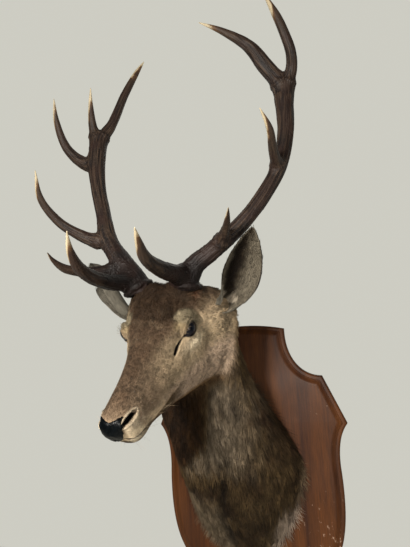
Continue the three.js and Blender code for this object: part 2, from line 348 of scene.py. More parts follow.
eye = {
    "place": (60.0, 0.0, 8.0),
    "radius": 18.6,
    "gaze": (0.86, -0.45, 0.24),
    # edge of the opening between the lids, in degrees: heading from the front corner over the top, and reach
    "rim": [(-180, 50), (-150, 48), (-120, 47), (-90, 47), (-60, 54), (-40, 64), (-27, 72), (-12, 60),
            (5, 47), (20, 40), (45, 29), (70, 25), (90, 24.5), (120, 30), (145, 40), (180, 50)],
    # share of the opening outwards over the lids, and how far from the middle of the ball the skin is there
    "lid": [(0, 14.6), (0.88, 15.4), (0.95, 18), (1, 19.4), (1.05, 20.1), (1.16, 20.3), (1.4, 21),
            (1.8, 22.6)],
}
# folds and openings in the head's frame, for the left side, mirrored for the right
tearSlit = [(63, -18, 1), (58.8, -30, -2.2), (56, -38.7, -5), (53.3, -47.7, -10), (51, -55.5, -14),
            (49.5, -60.5, -16.7)]
browFold = [(42, -24, 37), (43, -5, 43), (49, 12.5, 45), (60, 29, 39.4), (68, 42, 30), (74.2, 49.5, 17.8),
            (78.6, 54, 2.5), (80.7, 53.3, -9)]
nostril = [(19.5, -238, -16), (22.2, -232, -14.6), (24.8, -222, -14.5), (26.4, -212, -15.6),
           (27.2, -204.7, -17)]
nostrilTail = [(25.9, -204, -19.5), (30.4, -201, -27), (31.3, -210, -31), (30, -196, -50)]
mouth = [(0, -236, -49), (12, -236, -46), (17, -229, -51), (23, -221, -53), (28, -206, -57),
         (30.5, -190, -61), (30, -170, -67), (29, -150, -74)]
jawFold = [(29, -150, -73), (33, -128, -78), (40, -100, -76), (44, -80, -68)]
faceCrest = [(70, -2, -20), (58, -45, -32), (45, -85, -38), (37, -115, -40)]
# the furrow down the front of the neck, in the room's frame; the coat is darkened along it with painted shade
neckGap = [(-28, -197, 25), (-34, -187, -18), (-45, -140, -90), (-53, -94, -163), (-48, -50, -215)]
# where the antlers stand: place and radius
pedicles = [((49.6, 77.9, 57.4), 33), ((-48.5, 72.9, 65.2), 33)]
# place, size and height; on both sides where x isn't 0
humps = [
    ((64, 4, 28), (22, 30, 13), 6.5),        # brow
    ((58, -22, 27), (10, 12, 9), 2.6),       # inner end of the brow
    ((60, -46, -4), (16, 18, 12), -2.6),     # hollow before the eye
    ((86, 52, 20), (12, 20, 20), -3.0),      # hollow behind the brow
    ((74, 18, -24), (20, 30, 10), 2.2),      # cheekbone below the eye
    ((74, 34, -88), (30, 42, 36), 2.6),      # jaw muscle
    ((0, 10, 62), (16, 30, 20), -1.6),       # groove between the brows
    ((24, 70, 66), (22, 24, 20), 3.0),       # forehead tuft's mound
    ((28, -204, -34), (10, 16, 11), 2.4),    # upper lip
    ((22, -226, -26), (9, 10, 8), 1.8),      # beside the nose pad
    ((0, -222, -68), (22, 18, 14), -4.5),    # short chin
    ((0, -238, -44), (20, 10, 16), -2.4),    # below the nose pad
    ((42, -116, -12), (16, 30, 14), -1.8),   # side of the nose bone
    ((108, 78, -22), (24, 26, 26), 7.0),     # muscle before the ear
]


def sectionRing(section, angles):
    topY, topZ, footY, footZ, middle, halfWidth, widest, above, below = section
    side, rise = np.cos(angles), np.sin(angles)
    power = 2 / np.where(rise >= 0, above, below)
    height = widest + np.sign(rise) * np.where(rise >= 0, 1 - widest, widest) * np.abs(rise) ** power
    return np.stack([
        middle + halfWidth * np.abs(side) ** power,
        footY + (topY - footY) * height,
        footZ + (topZ - footZ) * height,
    ], axis=1)


def evened(grid, weight, rounds):
    # eases the grid where weight is above 0; the first and last rows stay
    for _ in range(rounds):
        mean = (np.roll(grid, 1, axis=1) + np.roll(grid, -1, axis=1))[1:-1] + grid[:-2] + grid[2:]
        grid[1:-1] += (mean / 4 - grid[1:-1]) * weight[1:-1, :, None]
    return grid


def skinGrid():
    quarter = np.linspace(0, 1, 201)
    quarter = quarter * quarter * (3 - 2 * quarter) * np.pi / 2
    angles = np.concatenate([-quarter[::-1], quarter[1:]])      # from the foot up to the top, on the left
    rings = [sectionRing(section, angles) for section in skin["head"]]
    rings += [toHead(sectionRing(section, angles)) for section in skin["neck"]]
    rings = np.array(rings)
    fine = np.linspace(0, len(rings) - 1, 1200)
    middleLine = smoothLine(rings[:, ::40], fine)
    travelled = np.linalg.norm(np.diff(middleLine, axis=0), axis=2).mean(axis=1)
    step = np.interp((fine[1:] + fine[:-1]) / 2, np.arange(len(rings)), skin["rowStep"])
    count = np.concatenate([[0], np.cumsum(travelled / step)])
    rows = np.interp(np.linspace(0, count[-1], int(count[-1])), count, fine)
    dense = smoothLine(rings, rows)
    # spread the columns along each row, closer together round the eye
    eyePlace = np.array(eye["place"])
    columns = skin["halfColumns"]
    half = np.empty((len(rows), columns + 1, 3))
    for k, line in enumerate(dense):
        middle = (line[1:] + line[:-1]) / 2
        length = lengthOf(np.diff(line, axis=0))
        close = 1 + 1.9 * np.exp(-((middle - eyePlace) ** 2).sum(axis=1) / 34 ** 2)
        place = np.concatenate([[0], np.cumsum(length * close)])
        half[k] = columnsAt(np.linspace(0, place[-1], columns + 1), place, line)
    middleX = half[:, -1:, :1]
    other = half[:, -2:0:-1].copy()
    other[:, :, :1] = 2 * middleX - other[:, :, :1]
    return np.concatenate([half, other], axis=1), rows


def eyeFrame(side):
    place = np.array(eye["place"]) * (side, 1, 1)
    gaze = unit(np.array(eye["gaze"]) * (side, 1, 1))
    forward = np.array([0.0, -1.0, -0.28])
    forward = unit(forward - gaze * (forward @ gaze))
    above = unit(np.cross(forward, gaze)) * -side
    return place, gaze, forward, above if above[2] > 0 else -above


def lidShape(points, side):
    place, gaze, forward, above = eyeFrame(side)
    away = points - place
    outward, front, over = away @ gaze, away @ forward, away @ above
    alongLid = np.degrees(np.arctan2(front, np.maximum(outward, 1e-3)))
    acrossLid = np.degrees(np.arctan2(over, np.maximum(outward, 1e-3)))
    # the opening leans forward and down to the tear slit, and the upper lid runs straighter than the lower
    heading = np.degrees(np.arctan2(acrossLid, alongLid))
    opening = np.hypot(alongLid, acrossLid) / np.interp(heading, *zip(*eye["rim"]))
    upper = ramp(-10, 14, acrossLid)
    lid = np.interp(opening, *zip(*eye["lid"]))
    lid = lid - bell(opening - 1.42, 0.09) * (0.5 + 1.3 * upper)
    lid = lid + 1.8 * bell(opening - 1.72, 0.2) * upper
    spread = np.sqrt((front / 1.1) ** 2 + over ** 2)
    blend = ramp(36, 19, spread) * (outward > 0)
    target = place + unit(away) * lid[:, None]
    return points + (target - points) * blend[:, None], opening, blend


def shapeFeatures(grid):
    points, outward = grid.reshape(-1, 3), gridNormals(grid).reshape(-1, 3)
    lift = np.zeros(len(points))
    for place, size, height in humps:
        for side in (1, -1) if place[0] else (1,):
            lift += height * blob(points, np.array(place) * (side, 1, 1), size)
    for foot, radius in pedicles:
        lift += 8.0 * ramp(radius + 16, radius - 10, lengthOf((points - np.array(foot)) * (1, 1, 0.5)))
    for side in (1, -1):
        ownSide = points[:, 0] * side > -2
        distance, share = nearLine(points, faceCrest, side)
        lift += 1.0 * bell(distance, 12) * ownSide
        distance, share = nearLine(points, browFold, side)
        ends = ramp(0, 0.12, share) * ramp(1, 0.8, share)
        lift += -3.4 * bell(distance, 3.0) * ends * ownSide
        distance, share = nearLine(points, jawFold, side)
        crease = -1.6 * bell(distance, 3.0) * (1 - share) ** 0.6
        lift += (crease + 0.8 * bell(distance - 7, 5) * (1 - share)) * ownSide
    points = points + outward * lift[:, None]

    # eyes, with their lids
    marks = {name: np.zeros(len(points)) for name in ("tear", "nostril", "nostrilRim", "mouth")}
    marks["opening"] = np.full(len(points), 9.0)
    for side in (1, -1):
        points, opening, blend = lidShape(points, side)
        marks["opening"] = np.where(blend > 0.05, np.minimum(marks["opening"], opening), marks["opening"])

    # narrow openings follow the new surface
    normals = gridNormals(points.reshape(grid.shape)).reshape(-1, 3)
    sink = np.zeros(len(points))
    for side in (1, -1):
        distance, share = nearLine(points, tearSlit, side)
        slit = np.exp(-(distance / np.interp(share, [0, 0.2, 0.55, 0.85, 1], [2.8, 3.5, 5.0, 3.8, 1.2])) ** 4)
        sink += 8.0 * slit + 1.6 * bell(distance, 8)
        distance, share = nearLine(points, nostril, side)
        width = np.interp(share, [0, 0.2, 0.5, 0.8, 1], [2.8, 4.2, 4.7, 3.6, 1.4])
        hole = np.exp(-(distance / width) ** 4)
        rim = bell(distance - width - 2.2, 1.9)
        sink += 11.0 * hole - 1.3 * rim
        distance, share = nearLine(points, mouth, side)
        crease, fading = bell(distance, 3.3), ramp(1.0, 0.75, share)
        sink += (5.0 * crease - 1.3 * bell(distance - 4.4, 2.6)) * fading
        found = {"tear": slit, "nostril": hole, "nostrilRim": rim, "mouth": crease * fading}
        for name, values in found.items():
            marks[name] = np.maximum(marks[name], values)
    points = points - normals * sink[:, None]
    return points.reshape(grid.shape), marks


def nosePadMask(points):
    # above 0 on the bare black skin between the nostrils
    x, y, z = np.abs(points[:, 0]), points[:, 1], points[:, 2]
    halfWidth = np.interp(
        z, [-50, -46, -41, -33, -26, -19, -13, -8, -5], [2, 6, 10.5, 13.5, 16.5, 17, 17, 17.5, 18])
    halfWidth = halfWidth + 0.8 * noise(points, 5, 3)
    topEdge = np.interp(x, [0, 5, 12, 18, 24], [-8.3, -7.4, -6.2, -6.6, -9.5])
    side = (halfWidth - x) / 2.2
    top = (topEdge - z) / 1.8
    foot = (z + 45.5) / 2.0
    return np.minimum(np.minimum(side, top), np.minimum(foot, (-221 - y) / 2.5))


ear = {
    # share of the way along, half width of the blade, how far its edges curl round
    "stations": [(0, 18, 150), (0.2, 21, 150), (0.36, 27, 132), (0.52, 36, 112), (0.68, 38, 92),
                 (0.81, 32, 80), (0.92, 20, 66), (1, 5, 40)],
    "rows": 64,
    "columns": 26,          # across each face of the blade
    "coatDepth": 1.2,
    "thickness": 3.0,
    "left": {
        "line": [(94, 118, -4), (122, 110, 6), (144, 107, 31), (163, 107, 66), (184, 101, 112),
                 (207, 86, 166)],
        "facing": (0.25, -1, 0.15),
        "width": 1,
    },
    "right": {
        "line": [(-92, 114, -16), (-114, 114, 10), (-136, 122, 46), (-160, 142, 82), (-184, 155, 92),
                 (-210, 168, 100)],
        "facing": (-0.7, -0.75, 0),
        "width": 0.85,
    },
}


def earGrid(place):
    line = np.array(place["line"], float)
    share = np.linspace(0, 1, ear["rows"]) ** 0.9
    even = np.linspace(0, 1, 200)
    middle = smoothLine(line, share * (len(line) - 1))
    along = unit(np.gradient(smoothLine(line, np.linspace(0, len(line) - 1, 200)), axis=0))
    along = unit(columnsAt(share, even, along))
    stations = np.array(ear["stations"])
    knots = smoothLine(stations, np.interp(share, stations[:, 0], np.arange(len(stations))))
    halfWidth = np.maximum(knots[:, 1] * place["width"] - ear["coatDepth"], 1.6)
    sweep = np.radians(knots[:, 2])
    facing = unit(np.array(place["facing"], float))
    front = unit(facing - along * (along @ facing)[:, None])
    side = np.cross(along, front)
    radius = halfWidth / np.sin(np.minimum(sweep, np.pi / 2))
    centre = middle + front * (radius * 0.6)[:, None]
    turn = np.linspace(-1, 1, ear["columns"])
    wall = ear["thickness"] * np.interp(share, [0, 0.5, 1], [1.3, 1, 0.45])[:, None]
    wall = wall * (1 - 0.55 * np.abs(turn) ** 4)
    # the edges roll out a little
    rim = 2.2 * ramp(0.8, 1.0, np.abs(turn))[None] * np.sin(np.pi * np.clip(share, 0, 1))[:, None]
    rings = []
    for outside in (True, False):
        angle = (turn if outside else turn[::-1] * 0.985)[None] * sweep[:, None]
        reach = radius[:, None] - (0 if outside else 1) * wall + (rim if outside else rim[:, ::-1])
        reach = np.maximum(reach, 0.6)
        rings.append(
            centre[:, None] + side[:, None] * (np.sin(angle) * reach)[..., None]
            - front[:, None] * (np.cos(angle) * reach)[..., None]
        )
    grid = np.concatenate(rings, axis=1)
    inside = np.repeat([0.0, 1.0], ear["columns"])
    edge = np.concatenate([np.abs(turn), np.abs(turn[::-1])])
    # a slightly uneven blade
    flat = grid.reshape(-1, 3)
    flat += unit(flat - np.repeat(centre, grid.shape[1], axis=0)) * (0.7 * noise(flat, 17, 5))[:, None]
    return flat.reshape(grid.shape), share, inside, edge, along


grid, sectionAt = skinGrid()
depth = np.interp(sectionAt, np.arange(len(skin["coatDepth"])), skin["coatDepth"])
grid = grid - gridNormals(grid) * depth[:, None, None]
# the throat is eased most, the crown and the roots of the ears least
fromFoot = np.linspace(0, 1, skin["halfColumns"] + 1)
fromFoot = np.concatenate([fromFoot, fromFoot[-2:0:-1]])
easing = ramp(11.6, 13.2, sectionAt)[:, None] * (0.9 - 0.84 * ramp(0.4, 0.6, fromFoot)[None])
grid, marks = shapeFeatures(evened(grid, easing, skin["easing"]))
rowCount, columnCount, _ = grid.shape
# the foot of the neck narrows on the stag's left, and the coat is parted in front over a furrow, which is
# darkened with painted shade
room = toWorld(grid.reshape(-1, 3))
onFoot = np.repeat(ramp(15.5, 17.2, sectionAt), columnCount)
room[:, 0] -= 15 * onFoot * ramp(30, 100, room[:, 0]) * ramp(20, -120, room[:, 2])
room[:, 1] += 5 * bell(nearLine(room, neckGap)[0], 12)
grid = toHead(room).reshape(grid.shape)
headPoints, headFaces = closedLoft(grid)
print("head and neck shaped,", rowCount, "rows of", columnCount)


def islandOf(kind, around, along):
    # place on the skin's unwrap: the head and neck below, one ear in each upper corner
    if kind == 0:
        return np.stack([around * 0.98 + 0.01, along * 0.79 + 0.01], axis=-1)
    return np.stack([around * 0.44 + (0.03 if kind == 1 else 0.53), along * 0.15 + 0.83], axis=-1)


def growSkin():
    # the head with the ears joined on, and what is known of every point of the lofts they came from
    count = rowCount * columnCount
    sources = [{
        "kind": np.zeros(count),
        "points": toWorld(grid.reshape(-1, 3)),
        "around": np.tile(np.arange(columnCount) / columnCount, rowCount),
        "along": np.repeat(np.arange(rowCount) / (rowCount - 1), columnCount),
        "section": np.repeat(sectionAt, columnCount),
        "lay": unit(np.gradient(toWorld(grid), axis=0)).reshape(-1, 3),
        "inside": np.zeros(count),
        "edge": np.zeros(count),
        **marks,
    }]
    base = newPiece("skinBase", outwardMesh("skinBase", toWorld(headPoints), headFaces))
    cutters = []
    for kind, side in ((1, "left"), (2, "right")):
        earPoints, share, inside, edge, along = earGrid(ear[side])
        rows, columns, _ = earPoints.shape
        blank = np.zeros(rows * columns)
        sources.append({
            "kind": blank + kind,
            "points": toWorld(earPoints.reshape(-1, 3)),
            "around": np.tile(np.arange(columns) / columns, rows),
            "along": np.repeat(share, columns),
            "section": blank + 12,
            "lay": np.repeat(along @ headTurn.T, columns, axis=0),
            "inside": np.tile(inside, rows),
            "edge": np.tile(edge, rows),
            **{name: blank for name in marks},
            "opening": blank + 9,
        })
        points, faces = closedLoft(earPoints)
        cutter = newPiece("earBase", outwardMesh("earBase", toWorld(points), faces))
        grow = base.modifiers.new("grow " + side, "BOOLEAN")
        grow.operation = "UNION"
        grow.solver = "MANIFOLD"
        grow.object = cutter
        cutters.append(cutter)
    piece = finished(base, "skin")
    for cutter in cutters:
        remove(cutter)
    return piece, {key: np.concatenate([source[key] for source in sources]) for key in sources[0]}


skinPiece, known = growSkin()
mesh = skinPiece.data
points = meshPoints(mesh)
source, _ = nearestIn(points, known["points"])
here = {key: values[source] for key, values in known.items()}
isEar = here["kind"] > 0
edges = edgesOf(mesh)
# ease the line where each ear joins the head
joint = np.zeros(len(points))
crossing = isEar[edges[:, 0]] != isEar[edges[:, 1]]
joint[edges[crossing].ravel()] = 1
for _ in range(5):
    spread = joint.copy()
    np.maximum.at(spread, edges[:, 0], joint[edges[:, 1]] - 0.2)
    np.maximum.at(spread, edges[:, 1], joint[edges[:, 0]] - 0.2)
    joint = spread
degree = np.bincount(edges.ravel(), minlength=len(points))[:, None]
for _ in range(7):
    total = np.zeros_like(points)
    np.add.at(total, edges[:, 0], points[edges[:, 1]])
    np.add.at(total, edges[:, 1], points[edges[:, 0]])
    points += (total / degree - points) * (joint * 0.7)[:, None]
setPoints(mesh, points)
outward = normalsOf(mesh)
print("skin joined,", len(mesh.vertices), "points,", trianglesIn(mesh), "triangles")


def unwrap():
    # every corner's place on the skin's own unwrap, with the faces across the back seams kept whole
    corners = readMesh(mesh.loops, "vertex_index", 1, np.int64).ravel()
    starts = np.array([face.loop_start for face in mesh.polygons])
    face = np.repeat(np.arange(len(starts)), np.diff(np.append(starts, len(corners))))
    kind, around, along = (here[key][corners] for key in ("kind", "around", "along"))
    own = kind[starts][face]
    odd = np.flatnonzero(kind != own)
    for value in np.unique(own[odd]):
        group = odd[own[odd] == value]
        near, _ = nearestIn(points[corners[group]], known["points"], known["kind"] == value)
        around[group], along[group] = known["around"][near], known["along"][near]
    widest, least = np.full(len(starts), -1.0), np.full(len(starts), 9.0)
    np.maximum.at(widest, face, around)
    np.minimum.at(least, face, around)
    around = np.where((widest - least > 0.5)[face] & (around < 0.5), around + 1, around)
    place = np.choose(own.astype(int)[:, None], [islandOf(value, around, along) for value in range(3)])
    layer = mesh.uv_layers.new(name="OFBake")
    layer.data.foreach_set("uv", np.clip(place, 0, 1).astype(np.float32).ravel())


unwrap()

# colours of the coat, some of them painted shade: under the jaw, in the neck's furrow and below the mouth
coatColours = {
    "bridge": "#45372a",
    "cheek": "#8c7c64",
    "muzzle": "#6e5e4c",
    "pale": "#c1b49b",
    "brow": "#6c6350",
    "cream": "#b8a67c",
    "forehead": "#2b2016",
    "russet": "#54301e",
    "jaw": "#938170",
    "jawFold": "#5a4020",
    "chin": "#b0a48e",
    "lip": "#b9a689",
    "lowerLipShade": "#413322",
    "gap": "#0d0805",
    "throatShadow": "#211305",
    "neck": "#3a2e1d",
    "neckPale": "#645a4c",
    "neckDark": "#1d1209",
    "ruff": "#7b6f63",
    "earBack": "#4b4840",
    "earInside": "#1e1810",
    "earDarkAndShade": "#0e0906",
    "earRim": "#120d0a",
    "earHair": "#5e584c",
    "earTuft": "#9a9080",
    "bareSkin": "#070607",
}
inHead = toHead(points)
# both halves of the head laid on the left one
onLeft = inHead * np.where(inHead[:, :1] < 0, (-1, 1, 1), 1)
section = here["section"]
# faces turned to the front; the painted shadows on the neck are laid on these only
front = ramp(-0.05, -0.35, outward[:, 1])


def browMound():
    # 1 between the eye and the fold above it
    line, middle = np.array(browFold, float), np.array(eye["place"])
    share = nearLine(onLeft, line)[1]
    edge = columnsAt(share, np.linspace(0, 1, len(line)), line)
    reach = lengthOf(onLeft - middle) / lengthOf(edge - middle)
    return ramp(1.0, 0.86, reach) * ramp(0, 0.07, share) * ramp(1, 0.9, share)


def skinMarkingsAndShade(p, w, s):
    # p in the head's frame with its right half laid on the left, w in the room's, s the section number
    colour = {name: np.array(toLinear(value)[:3]) for name, value in coatColours.items()}
    x, y, z = p.T
    across, into, up = w.T
    broad = noise(w, 34, 11)
    patchy = noise(w, 13, 12)
    result = np.tile(colour["cheek"], (len(p), 1))

    def paint(name, amount):
        result[:] += (colour[name] - result) * np.clip(amount, 0, 1)[:, None]

    def by(value, at, numbers):
        return np.interp(value, at, numbers)

    topness = ramp(0.15, 0.8, (z - by(s, [3, 8, 13], [-30, -20, -20])) / by(s, [3, 8, 13], [38, 62, 84]))
    paint("muzzle", ramp(8.5, 6, s))
    paint("bridge", topness * ramp(1.6, 5.0, s) * (1.0 + 0.2 * patchy))
    paint("jaw", ramp(-48, -80, z) * 0.8)
    # the underside of the jaw and the crease of its fold: reddish brown coat, darkened with painted shade
    under = ramp(by(s, [6, 10, 12.5], [-84, -118, -150]), by(s, [6, 10, 12.5], [-92, -132, -166]), z)
    paint("jawFold", under * ramp(6.5, 8, s) * 0.85)
    fold, share = nearLine(p, jawFold)
    paint("jawFold", 0.75 * bell(fold, 5) * ramp(1, 0.6, share) * (s < 11))
    # pale below the eye and in the mound above it, with a cream spot at its front and a dark line of painted
    # shade in the fold over it
    paint("pale", 0.95 * blob(p, (70, 4, -24), (20, 34, 13)) * (1 + 0.35 * patchy))
    paint("brow", 0.9 * mound * (1 + 0.3 * patchy))
    paint("cream", 0.45 * blob(p, (57, -25, 25), (9, 9, 8)))
    fold, share = nearLine(p, browFold)
    paint("forehead", 0.85 * bell(fold, 2.4) * ramp(0, 0.1, share) * ramp(1, 0.85, share))
    crown = ramp(7.9, 9.4, s + 0.4 * broad) * ramp(26, 52, z + 9 * patchy) * ramp(62, 38, x + 7 * broad)
    paint("forehead", crown * ramp(13.6, 12.6, s) * (1 - mound))
    paint("russet", 0.6 * blob(inHead, (66, 66, 48), (10, 13, 13)))
    # neck: browner with the distance from the head, a painted shadow under the jaw and on the stag's right,
    # dark along the nape, pale in the ruff
    paint("neck", ramp(12.0, 13.5, s + 0.3 * broad))
    paint("neckDark", ramp(13.4, 15.5, s) * np.clip(0.25 + 0.75 * broad + 0.35 * patchy, 0, 1))
    # across the neck from the edge of the painted shadow under the jaw
    fromShadowEdge = across - by(up, [20, 38, 75, 160, 230], [-130, -100, -66, -50, -40])
    pale = ramp(-15, 60, up + 25 * broad) * ramp(235, 175, up) * ramp(-4, 16, fromShadowEdge)
    pale = pale * ramp(70, -10, across + 25 * patchy)
    paint("neckPale", ramp(12.6, 13.4, s) * pale * (0.8 + 0.35 * patchy))
    paint("neckPale", ramp(15, 16, s) * ramp(-35, -65, across) * ramp(-10, -60, up + 20 * patchy) * 0.45)
    gap, share = nearLine(w, neckGap)
    # painted shade: near black down the furrow where the coat parts
    paint("gap", bell(gap, 11) * ramp(0.05, 0.25, share))
    # painted shadow of the head under the jaw, on the front faces only
    paint("throatShadow", ramp(12.6, 13.4, s) * ramp(4, -14, fromShadowEdge + 6 * patchy) * ramp(5, 40, up) * front * 0.9)
    # painted shade on the stag's right side of the neck, on the front faces only
    paint("neckDark", ramp(13, 14, s) * ramp(-95, -120, across) * ramp(20, 60, up) * front * 0.8)
    nape = ramp(120, 240, up + 0.9 * into) * ramp(60, 20, np.abs(across + 45))
    paint("neckDark", ramp(13.4, 14.4, s) * nape * 0.7)
    paint("neckDark", ramp(15.5, 17, s) * ramp(-20, 60, up) * 0.6)
    paint("ruff", ramp(16.8, 17.5, s + 0.35 * broad) * ramp(-90, -140, up) * ramp(30, 80, across) * 0.8)
    paint("ruff", ramp(17.5, 17.95, s) * ramp(60, -40, up) * ramp(60, 110, across) * 0.12)
    streak = noise(w, (6.5, 6.5, 38), 16) + 0.6 * noise(w, (4, 4, 24), 17)
    mottle = noise(w, 6, 18) + 0.6 * patchy
    result *= (1 + 0.55 * ramp(12.7, 13.8, s) * streak + 0.2 * ramp(13.4, 12.6, s) * mottle)[:, None]
    # ears
    inner, edge, along = isEar & (here["inside"] > 0.5), here["edge"], here["along"]
    paint("earBack", isEar & ~inner)
    paint("earInside", inner)
    line = np.array(ear["left"]["line"], float)
    sideways = inHead[:, 0] - by(nearLine(inHead, line)[1], np.linspace(0, 1, len(line)), line[:, 0])
    paint("earHair", inner * ramp(-8, 16, sideways + 9 * noise(w, 8, 19)) * 0.7)
    # darker along the inner edge: dark inner skin, and painted shade in the hollow of the ear
    darkAndShadedEdge = inner * ramp(6, -12, sideways + 9 * patchy) * ramp(0.18, 0.4, along)
    paint("earDarkAndShade", darkAndShadedEdge * ramp(0.95, 0.75, along) * 0.85)
    paint("earTuft", inner * ramp(0.36, 0.24, along + 0.08 * patchy) * ramp(-0.2, 0.5, noise(w, 9, 15)) * 0.8)
    paint("earBack", inner * (here["kind"] == 2) * 0.85)
    paint("earHair", inner * (here["kind"] == 1) * ramp(0.45, 0.8, edge + 0.15 * patchy) * 0.75)
    paint("earRim", isEar * ramp(0.9, 0.985, edge) * ramp(0.42, 0.6, along))
    # lips, nostrils, lids and tear slits
    overMouth = z - by(y, *np.array(mouth[:1] + mouth[2:])[:, 1:].T)
    belowMouth = ramp(0.5, -3, overMouth) * ramp(8.6, 7.4, s)
    paint("lip", ramp(7.4, 6.2, s) * ramp(26, 8, overMouth) * (1 - belowMouth) * 0.7)
    # painted shade: the shaded lower jaw below the mouth laid as dark brown
    paint("lowerLipShade", belowMouth * 0.9)
    paint("chin", belowMouth * ramp(-205, -215, y) * ramp(6, 14, x + 4 * patchy) * 0.95)
    paint("pale", ramp(5.4, 4.2, s) * ramp(17, 22, x) * ramp(-18, -24, z) * 0.5)
    paint("russet", 0.5 * bell(nearLine(p, nostrilTail)[0], 2.6) * ramp(8, 6, s))
    paint("chin", here["nostrilRim"] * 0.6 * ramp(6.0, 5.0, s))
    nostrilHere, mouthHere, opening, tear = (here[key] for key in ("nostril", "mouth", "opening", "tear"))
    paint("bareSkin", ramp(0.25, 0.6, nostrilHere) * 1.5)
    paint("bareSkin", ramp(0.25, 0.6, mouthHere))
    paint("bareSkin", ramp(1.22, 1.1, opening))
    paint("bareSkin", ramp(0.1, 0.4, tear) * 1.2)
    bare = (ramp(1.3, 1.12, opening) + ramp(0.2, 0.5, nostrilHere) + ramp(0.06, 0.3, tear)
            + ramp(0.3, 0.6, mouthHere) + ramp(-0.2, 0.1, nosePadMask(inHead)) * (s < 6))
    return result, np.clip(bare, 0, 1)


mound = browMound()
markingsAndShade, bareness = skinMarkingsAndShade(onLeft, points, section)

# the hair lies back from the nose, falls with its weight on the neck and swirls a little
onHead = ~isEar
fall = np.interp(section, [3, 9, 12.5, 14, 16, 17, 18], [0.05, 0.2, 0.4, 0.9, 1.1, 2.0, 3.2])
swirl = np.stack([noise(points, 42, k) for k in (21, 22, 23)], axis=1)
curls = np.stack([noise(points, 19, k) for k in (31, 32, 33)], axis=1)
crownHere = (ramp(8.6, 10.0, section) * ramp(26, 46, inHead[:, 2]) * ramp(74, 48, onLeft[:, 0])
             * ramp(13.9, 13.0, section) * (1 - mound) * onHead)
lay = here["lay"] + fall[:, None] * np.array([0, 0, -1.0]) * onHead[:, None]
lay = lay + 0.3 * swirl + 1.5 * crownHere[:, None] * curls
lay = unit(lay - outward * (lay * outward).sum(axis=1, keepdims=True))
hairLength = np.interp(
    section, [2, 5, 8, 10, 12, 13, 14, 15, 16, 18], [3.0, 4.0, 5.5, 7.0, 10, 16, 25, 33, 38, 40])
hairLength = np.where(isEar, np.where(here["inside"] > 0.5, 10.0, 6.5), hairLength + crownHere * 8)
nearEye = ramp(2.4, 1.3, here["opening"])
fromSlit = np.where(section < 12, nearLine(onLeft, tearSlit)[0], 99)
nearSlit = bell(fromSlit, 9) * (section < 12)
hairLength = hairLength * (1 - 0.5 * np.maximum(np.maximum(nearEye, mound * onHead), nearSlit))
hairWidth = np.where(isEar, 0.62, np.interp(section, [2, 8, 12, 14, 18], [0.55, 0.72, 1.0, 1.3, 1.45]))
# next to the board the hair turns outwards instead of running into the wood
clearOf, steepest = -27.5, 0.92
room = np.maximum(clearOf - points[:, 1], 0.5)
reach = np.clip(room / (steepest * hairLength), 0, 1)
inward = unit(np.array([0, 1.0, 0]) - outward * outward[:, 1:2])
down = np.cross(outward, inward)
down = unit(down * np.sign(1e-6 - down[:, 2:3]))
towards = np.clip(reach / np.maximum(inward[:, 1], 0.2), 0, 1)
alongBoard = inward * towards[:, None] + down * np.sqrt(1 - towards ** 2)[:, None]
turned = ramp(0.2, 0.6, -down[:, 2]) * (lay[:, 1] > reach) * ramp(14, 15, section)
turned = turned * onHead * ramp(0, 40, points[:, 0])
lay = unit(lay + (alongBoard - lay) * turned[:, None])
turnOut = np.arccos(np.clip(room / (steepest * hairLength * np.clip(lay[:, 1], 0.05, 1)), 0.12, 1))
turnOut = turnOut * (section > 14) * onHead
hairLength = hairLength * (1 - 0.25 * ramp(0.5, 1.4, turnOut))
fringe = ramp(16.4, 17.4, section) * ramp(-60, -95, points[:, 0]) * ramp(-30, -90, points[:, 2]) * onHead
hairLift = 0.85 * turnOut + 0.35 * fringe

furred = np.clip(1 - bareness * 1.2, 0, 1) * ramp(3.2, 4.6, fromSlit)
onNeck = ramp(12.9, 13.3, section) * onHead
onFace = furred * (1 - onNeck) * (1 - crownHere) * onHead * ramp(1.6, 2.6, section)
# across the neck from its middle line
across = points[:, 0] + np.interp(section, [13, 15, 18], [70, 38, 10])
front = onHead * (section < 13.3)
lashEdge = ramp(1.1, 1.16, here["opening"]) * ramp(1.42, 1.34, here["opening"])
lipSide = front * ramp(7.0, 6.2, section) * ramp(3.4, 4.2, section) * ramp(-8, -30, inHead[:, 2])
chinFoot = front * ramp(6.4, 5.6, section) * ramp(-60, -72, inHead[:, 2])
covers = {
    "crown": crownHere * furred,
    "ear": isEar * (1 - 0.4 * (here["inside"] > 0.5)),
    "whiskers": furred * (lipSide + 0.8 * chinFoot),
    "eye_lashes": front * lashEdge * ramp(4, 12, inHead[:, 2]),
}
for side, faceSide, neckSide in (
        ("left", inHead[:, 0] > 0, across > 0), ("right", inHead[:, 0] <= 0, across <= 0)):
    for part, low, high in (("muzzle", 0, 9.2), ("cheek", 9.2, 99)):
        covers[part + "_" + side] = onFace * faceSide * (section >= low) * (section < high)
    for part, low, high in (("upper", 0, 15.5), ("lower", 15.5, 16.75), ("foot", 16.75, 17.97)):
        covers["neck_" + part + "_" + side] = onNeck * neckSide * (section >= low) * (section < high)
for name, values in covers.items():
    storeAttribute(mesh, "cover_" + name, values)
shadeUnder = onNeck * ramp(13, 14.5, section) + 0.55 * crownHere
storeAttribute(mesh, "markingsAndShade", np.column_stack([markingsAndShade, np.ones(len(points))]), "FLOAT_COLOR")
storeAttribute(mesh, "bareness", bareness)
storeAttribute(mesh, "lay", lay, "FLOAT_VECTOR")
storeAttribute(mesh, "hairLength", hairLength * 0.001)
storeAttribute(mesh, "hairWidth", hairWidth * 0.001)
storeAttribute(mesh, "hairLift", hairLift)
storeAttribute(mesh, "shadeUnder", np.clip(shadeUnder, 0, 1))
print("markings and lie of the hair stored")


